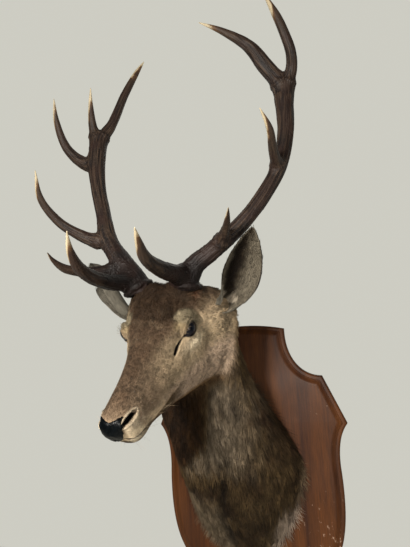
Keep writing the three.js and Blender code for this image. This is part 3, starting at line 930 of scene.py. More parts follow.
def newMaterial(name, finish, **shader):
    # finish adds what varies over the surface and says which inputs it drives
    material = bpy.data.materials.new(name)
    material.use_nodes = True
    tree = material.node_tree
    tree.nodes.clear()
    surface = addNode(tree, "ShaderNodeBsdfPrincipled", {**shader, **finish(tree)})
    addNode(tree, "ShaderNodeOutputMaterial", {"Surface": surface.outputs[0]})
    return material


def attribute(tree, name, part="Fac"):
    return addNode(tree, "ShaderNodeAttribute", attribute_name=name).outputs[part]


def ownPlace(tree):
    return addNode(tree, "ShaderNodeTexCoord").outputs["Object"]


def stretched(tree, place, **settings):
    return addNode(tree, "ShaderNodeMapping", {"Vector": place, **settings}).outputs[0]


def grainOf(tree, place, scale, detail, roughness=0.5, part=0):
    inputs = {"Vector": place, "Scale": scale, "Detail": detail, "Roughness": roughness}
    return addNode(tree, "ShaderNodeTexNoise", inputs).outputs[part]


def mapped(tree, value, low, high, toLow=0.0, toHigh=1.0):
    inputs = {"Value": value, "From Min": low, "From Max": high, "To Min": toLow, "To Max": toHigh}
    return addNode(tree, "ShaderNodeMapRange", inputs).outputs[0]


def mixed(tree, share, a, b):
    a, b = (toLinear(value) if isinstance(value, str) else value for value in (a, b))
    inputs = {"Factor": share, "A": a, "B": b}
    return addNode(tree, "ShaderNodeMix", inputs, data_type="RGBA").outputs["Result"]


def shaded(tree, colour, amount):
    return addNode(tree, "ShaderNodeVectorMath", {0: colour, "Scale": amount}, operation="SCALE").outputs[0]


def bumped(tree, height, distance, strength, invert=False):
    inputs = {"Height": height, "Distance": distance, "Strength": strength}
    return addNode(tree, "ShaderNodeBump", inputs, invert=invert).outputs[0]


def hideFinish(tree):
    # short hair lying flat on hide: fine streaks along the lie, drawn 1.5 mm wide so that they show
    bare = attribute(tree, "bareness")
    unwrapped = addNode(tree, "ShaderNodeUVMap", uv_map="OFBake").outputs[0]
    streaks = grainOf(tree, stretched(tree, unwrapped, Scale=(300, 80, 1)), 1.0, 4.0, 0.6)
    blotches = grainOf(tree, ownPlace(tree), 90.0, 3.0)
    thin = mapped(tree, streaks, 0.3, 0.7, 0.55, 1.35)
    both = number(tree, "MULTIPLY", thin, mapped(tree, blotches, 0.3, 0.7, 0.82, 1.18))
    even = addNode(tree, "ShaderNodeMix", {"Factor": bare, 2: both, 3: 1.0}, data_type="FLOAT").outputs[0]
    # painted shade: the skin darkens where long coat lies over it
    deep = mapped(tree, attribute(tree, "shadeUnder"), 0.0, 1.0, 1.0, 0.6)
    marked = attribute(tree, "markingsAndShade", "Color")
    return {
        "Base Color": shaded(tree, marked, number(tree, "MULTIPLY", even, deep)),
        "Roughness": mapped(tree, bare, 0.4, 1.0, 0.78, 0.45),
        "Normal": bumped(tree, streaks, 0.0012, 0.55),
    }


def hairFinish(tree):
    # locks of coarse hollow winter hair: dull, darker at the root, bleached at the tip
    rootToTip = mapped(tree, attribute(tree, "along"), 0.0, 0.9, 0.62, 1.3)
    own = mapped(tree, attribute(tree, "tint"), 0.0, 1.0, 0.45, 1.6)
    marked = attribute(tree, "markingsAndShade", "Color")
    return {"Base Color": shaded(tree, marked, number(tree, "MULTIPLY", rootToTip, own))}


dress(skinPiece, newMaterial("short deer hair", hideFinish, **{"IOR": 1.45, "Specular IOR Level": 0.12}))
hairMaterial = newMaterial("coarse winter hair", hairFinish, **{
    "Roughness": 0.72, "IOR": 1.5, "Specular IOR Level": 0.12})
print("hair and skin finishes made")


def newTuft(name, rings, droop, flatness):
    # a closed pointed lock, one unit long and one wide, its flat side down
    points, along = [], []
    for at, width in rings:
        for x, z in ((-0.5, 0), (0.5, 0), (0, flatness)):
            points.append((x * width, at, z * width + droop * (at - at * at)))
            along.append(at)
    points.append((0, 1, 0))
    along.append(1)
    faces = [(0, 1, 2)]
    for k in range(len(rings) - 1):
        for i in range(3):
            a, b = 3 * k + i, 3 * k + (i + 1) % 3
            faces.append((b, a, a + 3, b + 3))
    last = 3 * (len(rings) - 1)
    faces += [(last + (i + 1) % 3, last + i, last + 3) for i in range(3)]
    tuftMesh = newMesh(name, np.array(points) * 1000, faces)
    storeAttribute(tuftMesh, "along", along)
    layer = tuftMesh.uv_layers.new(name="tuftPlace")
    for loop in tuftMesh.loops:
        point = points[loop.vertex_index]
        layer.data[loop.index].uv = (0.5 + point[0] * 0.9, 0.05 + 0.9 * point[1])
    return newPiece(name, tuftMesh)


def tuftTree():
    tree = bpy.data.node_groups.new("lay tufts", "GeometryNodeTree")
    sockets = [
        ("Skin", "Geometry", None), ("Tuft", "Object", None), ("Cover", "String", ""),
        ("Spacing", "Float", 0.002), ("Most per square metre", "Float", 200000.0),
        ("Longer", "Float", 1.0), ("Wider", "Float", 1.0), ("Lift", "Float", 0.2), ("Stray", "Float", 0.2),
        ("Bend", "Float", 0.3), ("Lock size", "Float", 0.012), ("Gather", "Float", 0.6),
        ("Wave", "Float", 0.02), ("Board face", "Float", 0.0), ("Seed", "Int", 0),
        ("Finish", "Material", None),
    ]
    for name, kind, start in sockets:
        socket = tree.interface.new_socket(name, in_out="INPUT", socket_type="NodeSocket" + kind)
        if start is not None:
            socket.default_value = start
    tree.interface.new_socket("Coat", in_out="OUTPUT", socket_type="NodeSocketGeometry")
    given = addNode(tree, "NodeGroupInput").outputs

    def add(kind, inputs, **settings):
        return addNode(tree, kind, inputs, **settings).outputs[0]

    def named(name, kind="FLOAT"):
        return add("GeometryNodeInputNamedAttribute", {"Name": name}, data_type=kind)

    def value(operation, *parts):
        return number(tree, operation, *parts)

    def vector(operation, a, b=None, scale=None):
        inputs = {0: a} if scale is None else {0: a, "Scale": scale}
        if b is not None:
            inputs[1] = b
        made = addNode(tree, "ShaderNodeVectorMath", inputs, operation=operation)
        return made.outputs["Value" if operation == "DOT_PRODUCT" else 0]

    def chance(low, high, shift=0):
        inputs = {"Seed": value("ADD", given["Seed"], float(shift)), "Min": low, "Max": high}
        return addNode(tree, "FunctionNodeRandomValue", inputs, data_type="FLOAT").outputs[1]

    def flattened(direction, up):
        return vector("SUBTRACT", direction, vector("SCALE", up, scale=vector("DOT_PRODUCT", direction, up)))

    def scattered(spacing, most, seed):
        return addNode(tree, "GeometryNodeDistributePointsOnFaces", {
            "Mesh": given["Skin"], "Distance Min": spacing, "Density Max": most,
            "Density Factor": cover, "Seed": seed}, distribute_method="POISSON").outputs

    def ofLock(what, kind):
        inputs = {"Geometry": middles, "Value": what, "Index": nearest}
        return add("GeometryNodeSampleIndex", inputs, data_type=kind)

    cover = named(given["Cover"])
    roots = scattered(given["Spacing"], given["Most per square metre"], given["Seed"])
    middles = scattered(given["Lock size"], 90000.0, value("ADD", given["Seed"], 50.0))["Points"]
    position = add("GeometryNodeInputPosition", {})
    nearest = add("GeometryNodeSampleNearest", {"Geometry": middles})
    middle = ofLock(position, "FLOAT_VECTOR")
    lockTint = ofLock(chance(0.0, 1.0, 7), "FLOAT")
    # each lock leans its own way
    up, lie = roots["Normal"], named("lay", "FLOAT_VECTOR")
    perLock = value("DIVIDE", 0.45, given["Lock size"])
    wander = addNode(tree, "ShaderNodeTexNoise", {
        "Vector": middle, "Scale": perLock, "Detail": 1.0}, noise_dimensions="3D")
    rooted = roots["Points"]
    for name, kind, what in (
        ("rootPlace", "FLOAT_VECTOR", named("OFBake", "FLOAT_VECTOR")),
        ("tint", "FLOAT", value("MULTIPLY_ADD", lockTint, 0.68, value("MULTIPLY", chance(0.0, 1.0), 0.32))),
        ("lean", "FLOAT_VECTOR", flattened(vector("SUBTRACT", wander.outputs["Color"], (0.5, 0.5, 0.5)), up)),
        ("toLock", "FLOAT_VECTOR", flattened(vector("SUBTRACT", middle, position), up)),
        ("phase", "FLOAT", chance(0.0, 6.28, 3)),
        ("sideways", "FLOAT_VECTOR", vector("CROSS_PRODUCT", lie, up)),
    ):
        rooted = add("GeometryNodeStoreNamedAttribute", {"Geometry": rooted, "Name": name, "Value": what},
                     data_type=kind, domain="POINT")
    rooted = add("GeometryNodeRemoveAttribute", {"Geometry": rooted, "Name": "OFBake"})
    # stand on the skin, point along the lie, lift the tip
    upright = add("FunctionNodeAlignRotationToVector", {"Vector": up}, axis="Z")
    turned = add("FunctionNodeAlignRotationToVector", {
        "Rotation": upright, "Vector": lie}, axis="Y", pivot_axis="Z")
    lifted = value("MULTIPLY_ADD", chance(0.5, 1.5), given["Lift"], named("hairLift"))
    strayed = value("MULTIPLY", chance(-1.0, 1.0, 1), given["Stray"])
    tilt = add("ShaderNodeCombineXYZ", {"X": lifted, "Z": strayed})
    tilt = add("FunctionNodeEulerToRotation", {"Euler": tilt})
    tilted = add("FunctionNodeRotateRotation", {
        "Rotation": turned, "Rotate By": tilt}, rotation_space="LOCAL")
    long = value("MULTIPLY", named("hairLength"), given["Longer"])
    wide = value("MULTIPLY", named("hairWidth"), given["Wider"])
    uneven = value("MULTIPLY", long, chance(0.65, 1.25, 2))
    size = add("ShaderNodeCombineXYZ", {"X": wide, "Y": uneven, "Z": wide})
    tuft = addNode(tree, "GeometryNodeObjectInfo", {"Object": given["Tuft"]}).outputs["Geometry"]
    planted = add("GeometryNodeInstanceOnPoints", {
        "Points": rooted, "Instance": tuft, "Rotation": tilted, "Scale": size})
    real = add("GeometryNodeRealizeInstances", {0: planted})
    # towards its tip each tuft leans with its lock, closes on the lock's middle and waves a little
    along = named("along")
    leaning = value("MULTIPLY", value("POWER", along, 1.7), long)
    leaning = value("MULTIPLY", leaning, value("MULTIPLY", given["Bend"], 4.0))
    gathered = value("MULTIPLY", value("POWER", along, 1.25), given["Gather"])
    swing = value("MULTIPLY", value("SINE", value("MULTIPLY_ADD", along, 7.0, named("phase"))), along)
    swing = value("MULTIPLY", swing, value("MULTIPLY", given["Wave"], long))
    moves = [vector("SCALE", named(name, "FLOAT_VECTOR"), scale=amount)
             for name, amount in (("lean", leaning), ("toLock", gathered), ("sideways", swing))]
    bent = add("GeometryNodeSetPosition", {
        "Geometry": real, "Offset": vector("ADD", vector("ADD", moves[0], moves[1]), moves[2])})
    # nothing grows into the board: what comes nearer to it than this is laid flatter
    near = 0.006
    depth = addNode(tree, "ShaderNodeSeparateXYZ", {0: position}).outputs["Y"]
    over = value("MAXIMUM", value("SUBTRACT", depth, value("SUBTRACT", given["Board face"], near)), 0.0)
    eased = value("SUBTRACT", 1.0, value("EXPONENT", value("MULTIPLY", over, -1 / near)))
    pushed = add("ShaderNodeCombineXYZ", {"Y": value("SUBTRACT", value("MULTIPLY", eased, near), over)})
    clear = add("GeometryNodeSetPosition", {"Geometry": bent, "Offset": pushed})
    # each tuft is a small patch at its root's place on the skin's unwrap
    patchSize = 0.003
    middled = vector("SUBTRACT", named("tuftPlace", "FLOAT_VECTOR"), (0.5, 0.5, 0.0))
    placed = vector("ADD", named("rootPlace", "FLOAT_VECTOR"), vector("SCALE", middled, scale=patchSize))
    last = add("GeometryNodeStoreNamedAttribute", {
        "Geometry": clear, "Name": "OFBake", "Value": placed}, data_type="FLOAT2", domain="CORNER")
    for name in ("la*", "lean", "hair*", "rootPlace", "tuftPlace", "toLock", "phase", "sideways", "bareness",
                 "shadeUnder", "cover_*"):
        last = add("GeometryNodeRemoveAttribute", {"Geometry": last, "Name": name}, pattern_mode="WILDCARD")
    coated = add("GeometryNodeSetMaterial", {"Geometry": last, "Material": given["Finish"]})
    addNode(tree, "NodeGroupOutput", {"Coat": coated})
    return tree


# rings of (share of the length, share of the width), how far the middle bows up, thickness
tufts = {
    "short": newTuft("shortTuft", [(0, 0.7), (0.55, 0.9)], 0.25, 0.4),
    "curly": newTuft("curlyTuft", [(0, 0.7), (0.35, 1), (0.7, 0.75)], 0.9, 0.45),
    "long": newTuft("longTuft", [(0, 0.7), (0.38, 1), (0.74, 0.7)], 0.35, 0.4),
    "strand": newTuft("strand", [(0, 1), (0.4, 0.9), (0.75, 0.6)], 0.3, 0.9),
}
boardFace = -0.0268         # in front of the board's rubbed middle
# spacing and lock size in millimetres, most tufts per square metre
face = dict(tuft="short", spacing=1.12, most=860000, lift=0.1, stray=0.25, bend=0.22, lock=7,
            gather=0.35, wave=0)
lowerNeck = dict(tuft="long", spacing=1.85, most=390000, lift=0.14, stray=0.14, bend=0.26, lock=13,
                 gather=0.66, wave=0.035)
upperNeck = dict(lowerNeck, lift=0.13, bend=0.24, lock=11, gather=0.62, wave=0.03)
coat = {
    "muzzle_coat_left": face,
    "muzzle_coat_right": face,
    "cheek_coat_left": face,
    "cheek_coat_right": face,
    "crown_coat": dict(tuft="curly", spacing=1.2, most=700000, lift=0.16, stray=0.5, bend=0.55, lock=9,
                       gather=0.5, wave=0.1),
    "ear_coat": dict(face, spacing=1.35, most=480000, lift=0.08, stray=0.3, bend=0.3, gather=0.4),
    "neck_coat_upper_left": upperNeck,
    "neck_coat_upper_right": upperNeck,
    "neck_coat_lower_left": lowerNeck,
    "neck_coat_lower_right": lowerNeck,
    "neck_coat_foot_left": lowerNeck,
    "neck_coat_foot_right": lowerNeck,
    "whiskers": dict(tuft="strand", spacing=8.5, most=9000, lift=0.75, stray=0.5, bend=0.3, lock=14,
                     gather=0, wave=0.03, longer=6, wider=0.3),
    "eye_lashes": dict(tuft="strand", spacing=1.3, most=600000, lift=0.85, stray=0.4, bend=0.15, lock=5,
                       gather=0.3, wave=0.02, longer=3.2, wider=0.45),
}


def runTree(base, tree, name, settings):
    modifier = base.modifiers.new(tree.name, "NODES")
    modifier.node_group = tree
    for item in tree.interface.items_tree:
        if item.in_out == "INPUT" and item.name in settings:
            modifier[item.identifier] = settings[item.name]
    base.update_tag()
    made = realMesh(base, name)
    base.modifiers.remove(modifier)
    return newPiece(name, made)


coatTree = tuftTree()
coatPieces = []
for seed, (name, hair) in enumerate(coat.items(), 3):
    piece = runTree(skinPiece, coatTree, name, {
        "Tuft": tufts[hair["tuft"]], "Cover": "cover_" + name.replace("_coat", ""),
        "Spacing": hair["spacing"] * 0.001, "Most per square metre": float(hair["most"]),
        "Lift": hair["lift"], "Stray": hair["stray"], "Bend": hair["bend"],
        "Lock size": hair["lock"] * 0.001, "Gather": float(hair["gather"]), "Wave": float(hair["wave"]),
        "Longer": float(hair.get("longer", 1)), "Wider": hair.get("wider", 1.0),
        "Board face": boardFace, "Seed": seed, "Finish": hairMaterial,
    })
    dress(piece, hairMaterial)
    coatPieces.append(piece)
    print(name, trianglesIn(piece.data), "triangles")
for tuft in tufts.values():
    remove(tuft)


# each antler is one grown bone, grooved along its length, pearled low down and worn pale at the tips
antlers = {
    "left": {
        "coronet": ((-40, -348, 405), (0.25, -0.1, 1)),
        "beam": [(-40, -349, 400, 25), (-38, -350, 412, 25), (-14, -357, 451, 22), (20, -360, 472, 18.5),
                 (91, -352, 528, 17), (137, -337, 585, 16.5), (172, -322, 647, 16.5), (191, -306, 731, 18),
                 (194, -297, 802, 21), (196, -294, 838, 24), (200, -298, 858, 18)],
        "brow_tine": [(-40, -356, 431, 21), (-47, -450, 431, 16), (-44, -533, 439, 11.5),
                      (-32, -585, 458, 5.5), (-25, -609, 470, 1.5)],
        "bez_tine": [(41, -362, 488, 13), (67, -405, 505, 8.5), (84, -455, 514, 4.5), (94, -490, 518, 1.5)],
        "trez_tine": [(169, -322, 643, 12.5), (168, -380, 656, 9.5), (170, -430, 677, 7),
                      (159, -466, 702, 1.5)],
        "front_crown_tine": [(196, -294, 792, 13), (191, -298, 838, 18.5), (159, -322, 887, 17),
                             (134, -346, 919, 14), (85, -372, 950, 7.5), (37, -394, 970, 1.5)],
        "back_crown_tine": [(197, -295, 796, 12), (205, -299, 840, 15), (217, -310, 868, 12.5),
                            (220, -328, 891, 12), (212, -346, 925, 11), (198, -360, 966, 9),
                            (176, -372, 1020, 2)],
    },
    "right": {
        "coronet": ((-139, -352, 408), (-0.5, -0.1, 1)),
        "beam": [(-140, -353, 402, 26), (-143, -354, 419, 26), (-162, -353, 449, 25), (-184, -350, 477, 23),
                 (-222, -338, 534, 20), (-247, -318, 609, 17.5), (-268, -302, 681, 18.5),
                 (-278, -291, 745, 21),
                 (-279, -283, 791, 22.5), (-278, -278, 821, 23), (-276, -276, 838, 18)],
        "brow_tine": [(-156, -356, 428, 20), (-173, -440, 423, 15), (-172, -520, 431, 12.5),
                      (-156, -580, 453, 7), (-140, -613, 479, 1.5)],
        "bez_tine": [(-195, -350, 462, 14), (-237, -395, 455, 11.5), (-264, -440, 458, 9.5),
                     (-269, -475, 471, 4.5), (-266, -496, 482, 1.5)],
        "trez_tine": [(-237, -338, 529, 17), (-279, -350, 548, 14), (-321, -382, 580, 11),
                      (-338, -424, 624, 8), (-323, -462, 675, 1.5)],
        "front_crown_tine": [(-287, -284, 747, 18), (-314, -292, 758, 16), (-348, -312, 795, 12),
                             (-355, -345, 853, 7.5), (-343, -372, 898, 1.5)],
        "middle_crown_tine": [(-280, -284, 776, 12), (-286, -283, 822, 13.5), (-283, -300, 860, 10),
                              (-271, -325, 895, 5.5), (-260, -342, 924, 1.5)],
        "back_crown_tine": [(-278, -283, 776, 13), (-270, -277, 822, 16.5), (-250, -264, 860, 13),
                            (-213, -250, 951, 10.5), (-181, -242, 1010, 7), (-160, -240, 1038, 1.5)],
        "crown_prong": [(-188, -246, 992, 7), (-187, -240, 1006, 4), (-187, -236, 1025, 1.5)],
    },
}
bone = {
    "voxel": 1.7,
    "grooveDepth": 0.75,
    "pearlHeight": 1.0,
    "web": 20.0,            # how close two bones are before a web starts between them
    "tipLength": 34.0,      # how far the worn ivory reaches back from a tip
    "paleSideLength": 56.0,   # and how much further on faces turned away from the direction below
    # the ivory reaches further on faces turned away from this direction
    "paleSideOpposite": (0.85, 0.4, -0.2),
    "dullTip": 28.0,        # how much shorter it is on the bez tines
    "coronetRadius": 32.0,
    # share of that radius and height of each ring of the coronet
    "coronetRings": [(0.3, 1.5), (0.72, 1), (0.92, 3.5), (1.0, 8), (0.95, 12), (0.78, 15.5), (0.3, 17)],
}


def hornLine(stations, step=3.0):
    stations = np.array(stations, float)
    fine = np.linspace(0, len(stations) - 1, 400)
    line = smoothLine(stations[:, :3], fine)
    radius = np.interp(fine, np.arange(len(stations)), stations[:, 3])
    travelled = np.concatenate([[0], np.cumsum(lengthOf(np.diff(line, axis=0)))])
    at = np.linspace(0, travelled[-1], int(travelled[-1] / step) + 2)
    line = columnsAt(at, travelled, line)
    radius = np.interp(at, travelled, radius)
    for _ in range(12):
        radius[1:-1] = (radius[:-2] + radius[1:-1] * 2 + radius[2:]) / 4
    return line, radius, at


def hornFrames(line):
    tangent = unit(np.gradient(line, axis=0))
    across = np.empty_like(line)
    across[0] = unit(np.cross(tangent[0], (0.3, 0.2, 1.0)))
    for k in range(1, len(line)):
        across[k] = unit(across[k - 1] - tangent[k] * (across[k - 1] @ tangent[k]))
    return across, np.cross(tangent, across)


def evenedOver(mesh, values):
    # each value is replaced by the mean of its own and its neighbours'
    edges = edgesOf(mesh)
    total, count = values.copy(), np.ones(len(values))
    for a, b in ((0, 1), (1, 0)):
        np.add.at(total, edges[:, a], values[edges[:, b]])
        np.add.at(count, edges[:, a], 1)
    return total / count


def webbed(mesh, bones):
    # the forks are webbed: the nearer the next bone's surface, the further the bone swells towards it
    places = meshPoints(mesh)
    gaps, widths = [], []
    for line, flare in bones:
        near, distance = nearestIn(places, line)
        gaps.append(distance - flare[near])
        widths.append(flare[near])
    order = np.argsort(np.array(gaps), axis=0)[:2]
    gaps, widths = (np.take_along_axis(np.array(values), order, axis=0) for values in (gaps, widths))
    reach = np.clip(widths.min(axis=0) * 1.5, 3, bone["web"])
    web = np.clip(reach - np.abs(gaps[1] - gaps[0]), 0, None) ** 2 / (4 * reach)
    for _ in range(4):
        web = evenedOver(mesh, web)
    setPoints(mesh, places + normalsOf(mesh) * web[:, None])


def antlerTubes(plan, foot, axis):
    # a tube for the beam and for each tine, a ring for the coronet, and what is known along each of them
    points, faces, bones, samples = [], [], [], []

    def addTube(grid):
        tubePoints, tubeFaces = closedLoft(grid)
        start = sum(len(block) for block in points)
        points.append(tubePoints)
        faces.extend([[start + i for i in face] for face in tubeFaces])

    for name, stations in plan.items():
        if name == "coronet":
            continue
        isBeam = name == "beam"
        line, radius, at = hornLine(stations)
        across, beside = hornFrames(line)
        angle = np.linspace(0, 2 * np.pi, 20, endpoint=False)
        sideTine = not isBeam and "crown" not in name
        # a side tine widens where it leaves the beam
        flare = radius * (1 + 0.2 * np.exp(-at / 22) * sideTine)
        fromEnd, endRadius = (at[-1] - at, radius[-1]) if isBeam else (at, radius[0])
        # the end inside the others is rounded
        flare = flare * np.sqrt(1 - np.clip(1 - (fromEnd + 1) / endRadius, 0, 0.97) ** 2)
        outside = np.ones(len(line), bool)
        for other, otherRadius in bones:
            near, distance = nearestIn(line, other)
            outside &= distance > otherRadius[near] * 0.85
        bones.append((line[outside], flare[outside]))
        addTube(line[:, None] + flare[:, None, None] * (
            across[:, None] * np.cos(angle)[None, :, None] + beside[:, None] * np.sin(angle)[None, :, None]))
        samples.append({
            "line": line, "across": across, "beside": beside, "radius": radius,
            "along": at + 1000 * (len(samples) + 1),
            "toTip": at * 0 + 400 if isBeam else at[-1] - at,
            "dull": at * 0 + bone["dullTip"] * (name == "bez_tine"),
        })
    first = unit(np.cross(axis, (0, 1, 0)))
    second = np.cross(axis, first)
    angle = np.linspace(0, 2 * np.pi, 48, endpoint=False)[:, None]
    circle = first * np.cos(angle) + second * np.sin(angle)
    addTube(np.array([
        foot + axis * height + bone["coronetRadius"] * reach * circle
        for reach, height in bone["coronetRings"]
    ]))
    return np.concatenate(points), faces, bones, samples


def growAntler(side):
    foot, axis = (np.array(value, float) for value in antlers[side]["coronet"])
    axis = unit(axis)
    points, faces, bones, samples = antlerTubes(antlers[side], foot, axis)
    rough = newPiece("antlerRough", newMesh("antlerRough", points, faces))
    blend = rough.modifiers.new("merge", "REMESH")
    blend.mode = "VOXEL"
    blend.voxel_size = bone["voxel"] * 0.001
    soften = rough.modifiers.new("soften", "SMOOTH")
    soften.factor = 0.5
    soften.iterations = 9
    piece = finished(rough, "antler_" + side)
    mesh = piece.data
    webbed(mesh, bones)
    places, outward = meshPoints(mesh), normalsOf(mesh)
    lines = {key: np.concatenate([sample[key] for sample in samples]) for key in samples[0]}
    near, _ = nearestIn(places, lines["line"])
    own = {key: values[near] for key, values in lines.items()}
    away = places - own["line"]
    # grain: narrow round the beam and long along it
    sideways = [(away * own[key]).sum(axis=1) for key in ("across", "beside")]
    grain = np.stack([*sideways, own["along"] * 0.05], axis=1)
    fromTip = ramp(15, 110, own["toTip"])
    groove = 1 - np.abs(noise(grain, 4.2, 41)) * 2
    groove = groove + 0.6 * (1 - np.abs(noise(grain, 2.6, 42)) * 2)
    overCoronet = (places - foot) @ axis
    fromAxis = lengthOf(places - foot - overCoronet[:, None] * axis)
    burr = bell(overCoronet - 8, 9) * ramp(20, 27, fromAxis) * (fromAxis < 46)
    fromFoot = lengthOf(places - foot)
    pearls = np.maximum(noise(places, 4.2, 43), 0) ** 1.2
    knobs = noise(places, 8.5, 44) + 0.6 * noise(places, 4.6, 45)
    rise = -bone["grooveDepth"] * fromTip * groove * (0.35 + 0.65 * ramp(6, 16, own["radius"])) * (1 - burr)
    pearls = bone["pearlHeight"] * pearls * (0.25 + 0.75 * ramp(330, 60, fromFoot))
    rise = rise + pearls * fromTip * (1 - burr)
    rise = rise + burr * (1.7 * knobs + 0.8)
    setPoints(mesh, places + outward * rise[:, None])
    # the ivory reaches further back on faces turned away from the direction given in bone
    paler = np.clip(-outward @ np.array(bone["paleSideOpposite"]), 0, 1)
    wear = own["toTip"] + 9 * noise(places, 12, 46) + 9 * noise(grain, 3.5, 47)
    wear = wear + own["dull"] - bone["paleSideLength"] * paler
    ridge = np.clip(0.5 + 0.33 * (rise - rise.mean()) / 0.7, 0, 1) * (1 - 0.9 * ramp(170, 50, fromFoot))
    storeAttribute(mesh, "worn", ramp(bone["tipLength"] * 1.25, bone["tipLength"] * 0.2, wear))
    storeAttribute(mesh, "ridge", ridge)
    storeAttribute(mesh, "grain", grain * 0.001, "FLOAT_VECTOR")
    return piece


def antlerFinish(tree):
    # antler stained dark by bark and soil: the ridges rubbed greyer, the tips polished to ivory
    worn = attribute(tree, "worn")
    fine = grainOf(tree, attribute(tree, "grain", "Vector"), 420.0, 4.0, 0.6)
    paler = mapped(tree, number(tree, "ADD", attribute(tree, "ridge"), fine), 0.72, 1.3)
    dark = mixed(tree, paler, "#0d0807", "#33281f")
    stain = mapped(tree, grainOf(tree, ownPlace(tree), 22.0, 2.0), 0.42, 0.7, 0.0, 0.6)
    warm = mixed(tree, stain, dark, "#241712")
    brown = mixed(tree, mapped(tree, worn, 0.0, 0.45), warm, "#4a3521")
    return {
        "Base Color": mixed(tree, mapped(tree, worn, 0.45, 0.95), brown, "#958a72"),
        "Roughness": mapped(tree, worn, 0.0, 1.0, 0.58, 0.4),
        "Normal": bumped(tree, fine, 0.0012, 0.5),
    }


antlerMaterial = newMaterial("weathered antler", antlerFinish, **{"IOR": 1.45, "Specular IOR Level": 0.22})
antlerPieces = {}
for side in ("left", "right"):
    antlerPieces[side] = growAntler(side)
    dress(antlerPieces[side], antlerMaterial)
    print("antler", side, trianglesIn(antlerPieces[side].data), "triangles")


def glassFinish(tree):
    # blown glass, painted behind: near black, a little paler towards the rim
    streaks = grainOf(tree, ownPlace(tree), 700.0, 2.0)
    uneven = number(tree, "MULTIPLY_ADD", streaks, 0.22, attribute(tree, "fromPupil"))
    return {"Base Color": mixed(tree, mapped(tree, uneven, 0.5, 0.95), "#03050a", "#0d0b12")}


def makeEye(side):
    # a ball with a clear bulge over a dark iris and a level pupil
    place, gaze, forward, above = eyeFrame(side)
    turnDown = np.linspace(0, np.pi, 42)[1:-1]
    angle = np.linspace(0, 2 * np.pi, 48, endpoint=False)
    reach = eye["radius"] * (1 + 0.05 * bell(turnDown, 0.55))
    spokes = forward * np.cos(angle)[:, None] + above * np.sin(angle)[:, None]
    deep, wide = ((turn(turnDown) * reach)[:, None, None] for turn in (np.cos, np.sin))
    grid = place + (gaze * deep + spokes[None] * wide)
    points, faces = closedLoft(grid)
    name = "eye_ball_" + ("left" if side > 0 else "right")
    mesh = outwardMesh(name, toWorld(points), faces)
    front, over = ((points - place) @ direction / eye["radius"] for direction in (forward, above))
    storeAttribute(mesh, "fromPupil", np.sqrt((front / 0.95) ** 2 + (over / 0.7) ** 2))
    return newPiece(name, mesh)


glassMaterial = newMaterial("glass eye", glassFinish, **{
    "Roughness": 0.06, "IOR": 1.33, "Specular IOR Level": 0.3})
eyePieces = [makeEye(1), makeEye(-1)]
for piece in eyePieces:
    dress(piece, glassMaterial)
print("eyes set")


def noseFinish(tree):
    # moist bare skin: black, pebbled about 1.2 mm apart
    place = ownPlace(tree)
    pebbles = addNode(tree, "ShaderNodeTexVoronoi", {"Vector": place, "Scale": 620.0}, feature="SMOOTH_F1")
    uneven = mapped(tree, grainOf(tree, place, 160.0, 3.0), 0.35, 0.75)
    return {
        "Base Color": mixed(tree, uneven, "#010203", "#040608"),
        "Normal": bumped(tree, pebbles.outputs[0], 0.0006, 0.6, invert=True),
    }


def makeNosePad():
    # bare skin laid over the end of the muzzle
    flat = grid.reshape(-1, 3)
    mask = np.where(flat[:, 1] < -215, nosePadMask(flat), -1)
    mask = np.append(np.minimum(mask, (0.45 - marks["nostril"]) * 4), 1.0)
    tip = len(flat)
    allPoints = np.concatenate([flat, flat[:columnCount].mean(axis=0)[None]])
    faces = gridFaces(rowCount, columnCount)[:70 * columnCount].tolist()
    faces = [face for face in faces if (mask[face] > 0).all()]
    faces += [[tip, (i + 1) % columnCount, i] for i in range(columnCount)]
    outward = np.concatenate([gridNormals(grid).reshape(-1, 3), [[0, -0.97, -0.2]]])
    rise = 0.1 + 0.7 * ramp(0, 1.4, mask) + 0.25 * noise(allPoints, 3.2, 51)
    lifted = allPoints + outward * rise[:, None]
    # groove down the middle
    lifted -= outward * (1.6 * bell(np.abs(allPoints[:, 0]), 1.1) * ramp(-16, -30, allPoints[:, 2]))[:, None]
    used = np.unique(np.concatenate([np.array(face) for face in faces]))
    renumber = np.full(len(allPoints), -1)
    renumber[used] = np.arange(len(used))
    faces = [[int(renumber[i]) for i in face] for face in faces]
    pad = newPiece("nosePadRough", newMesh("nosePadRough", toWorld(lifted[used]), faces))
    thick = pad.modifiers.new("thick", "SOLIDIFY")
    thick.thickness = 0.0022
    thick.offset = -1
    return finished(pad, "nose_skin_pad")


nosePiece = makeNosePad()
dress(nosePiece, newMaterial("bare nose skin", noseFinish, **{
    "Roughness": 0.32, "IOR": 1.35, "Specular IOR Level": 0.14}))
print("nose pad laid")

# one moulded shield of stained wood
board = {
    # distance in from the edge, y
    "moulding": [(2, 0), (0, -1.5), (0, -12.5), (0.6, -14.8), (2.0, -16.7), (4.2, -17.8), (7.2, -18.1),
                 (9.4, -17.6), (10.2, -17.9), (10.8, -19.3), (13.5, -20.4), (16.8, -22.6), (20, -24.8),
                 (22.6, -25.8), (25, -26)],
    # runs of the right half from the top to the foot: points on each, and the corners that steer it
    "runs": [
        (26, [(0, 331), (62, 331), (117, 317)]),
        (26, [(117, 317), (113, 240), (150, 191), (204, 189)]),
        (6, [(204, 189), (254, 70)]),
        (26, [(254, 70), (234, 46), (226, 12), (227, -38)]),
        (26, [(227, -38), (231, -110), (228, -190), (200, -240)]),
        (26, [(200, -240), (178, -292), (84, -306), (0, -352)]),
    ],
}


def bezier(count, corners):
    t = np.linspace(0, 1, count + 1)[:, None]
    corners = np.array(corners, float)
    while len(corners) > 1:
        corners = [a + (b - a) * t for a, b in zip(corners[:-1], corners[1:])]
    return corners[0]


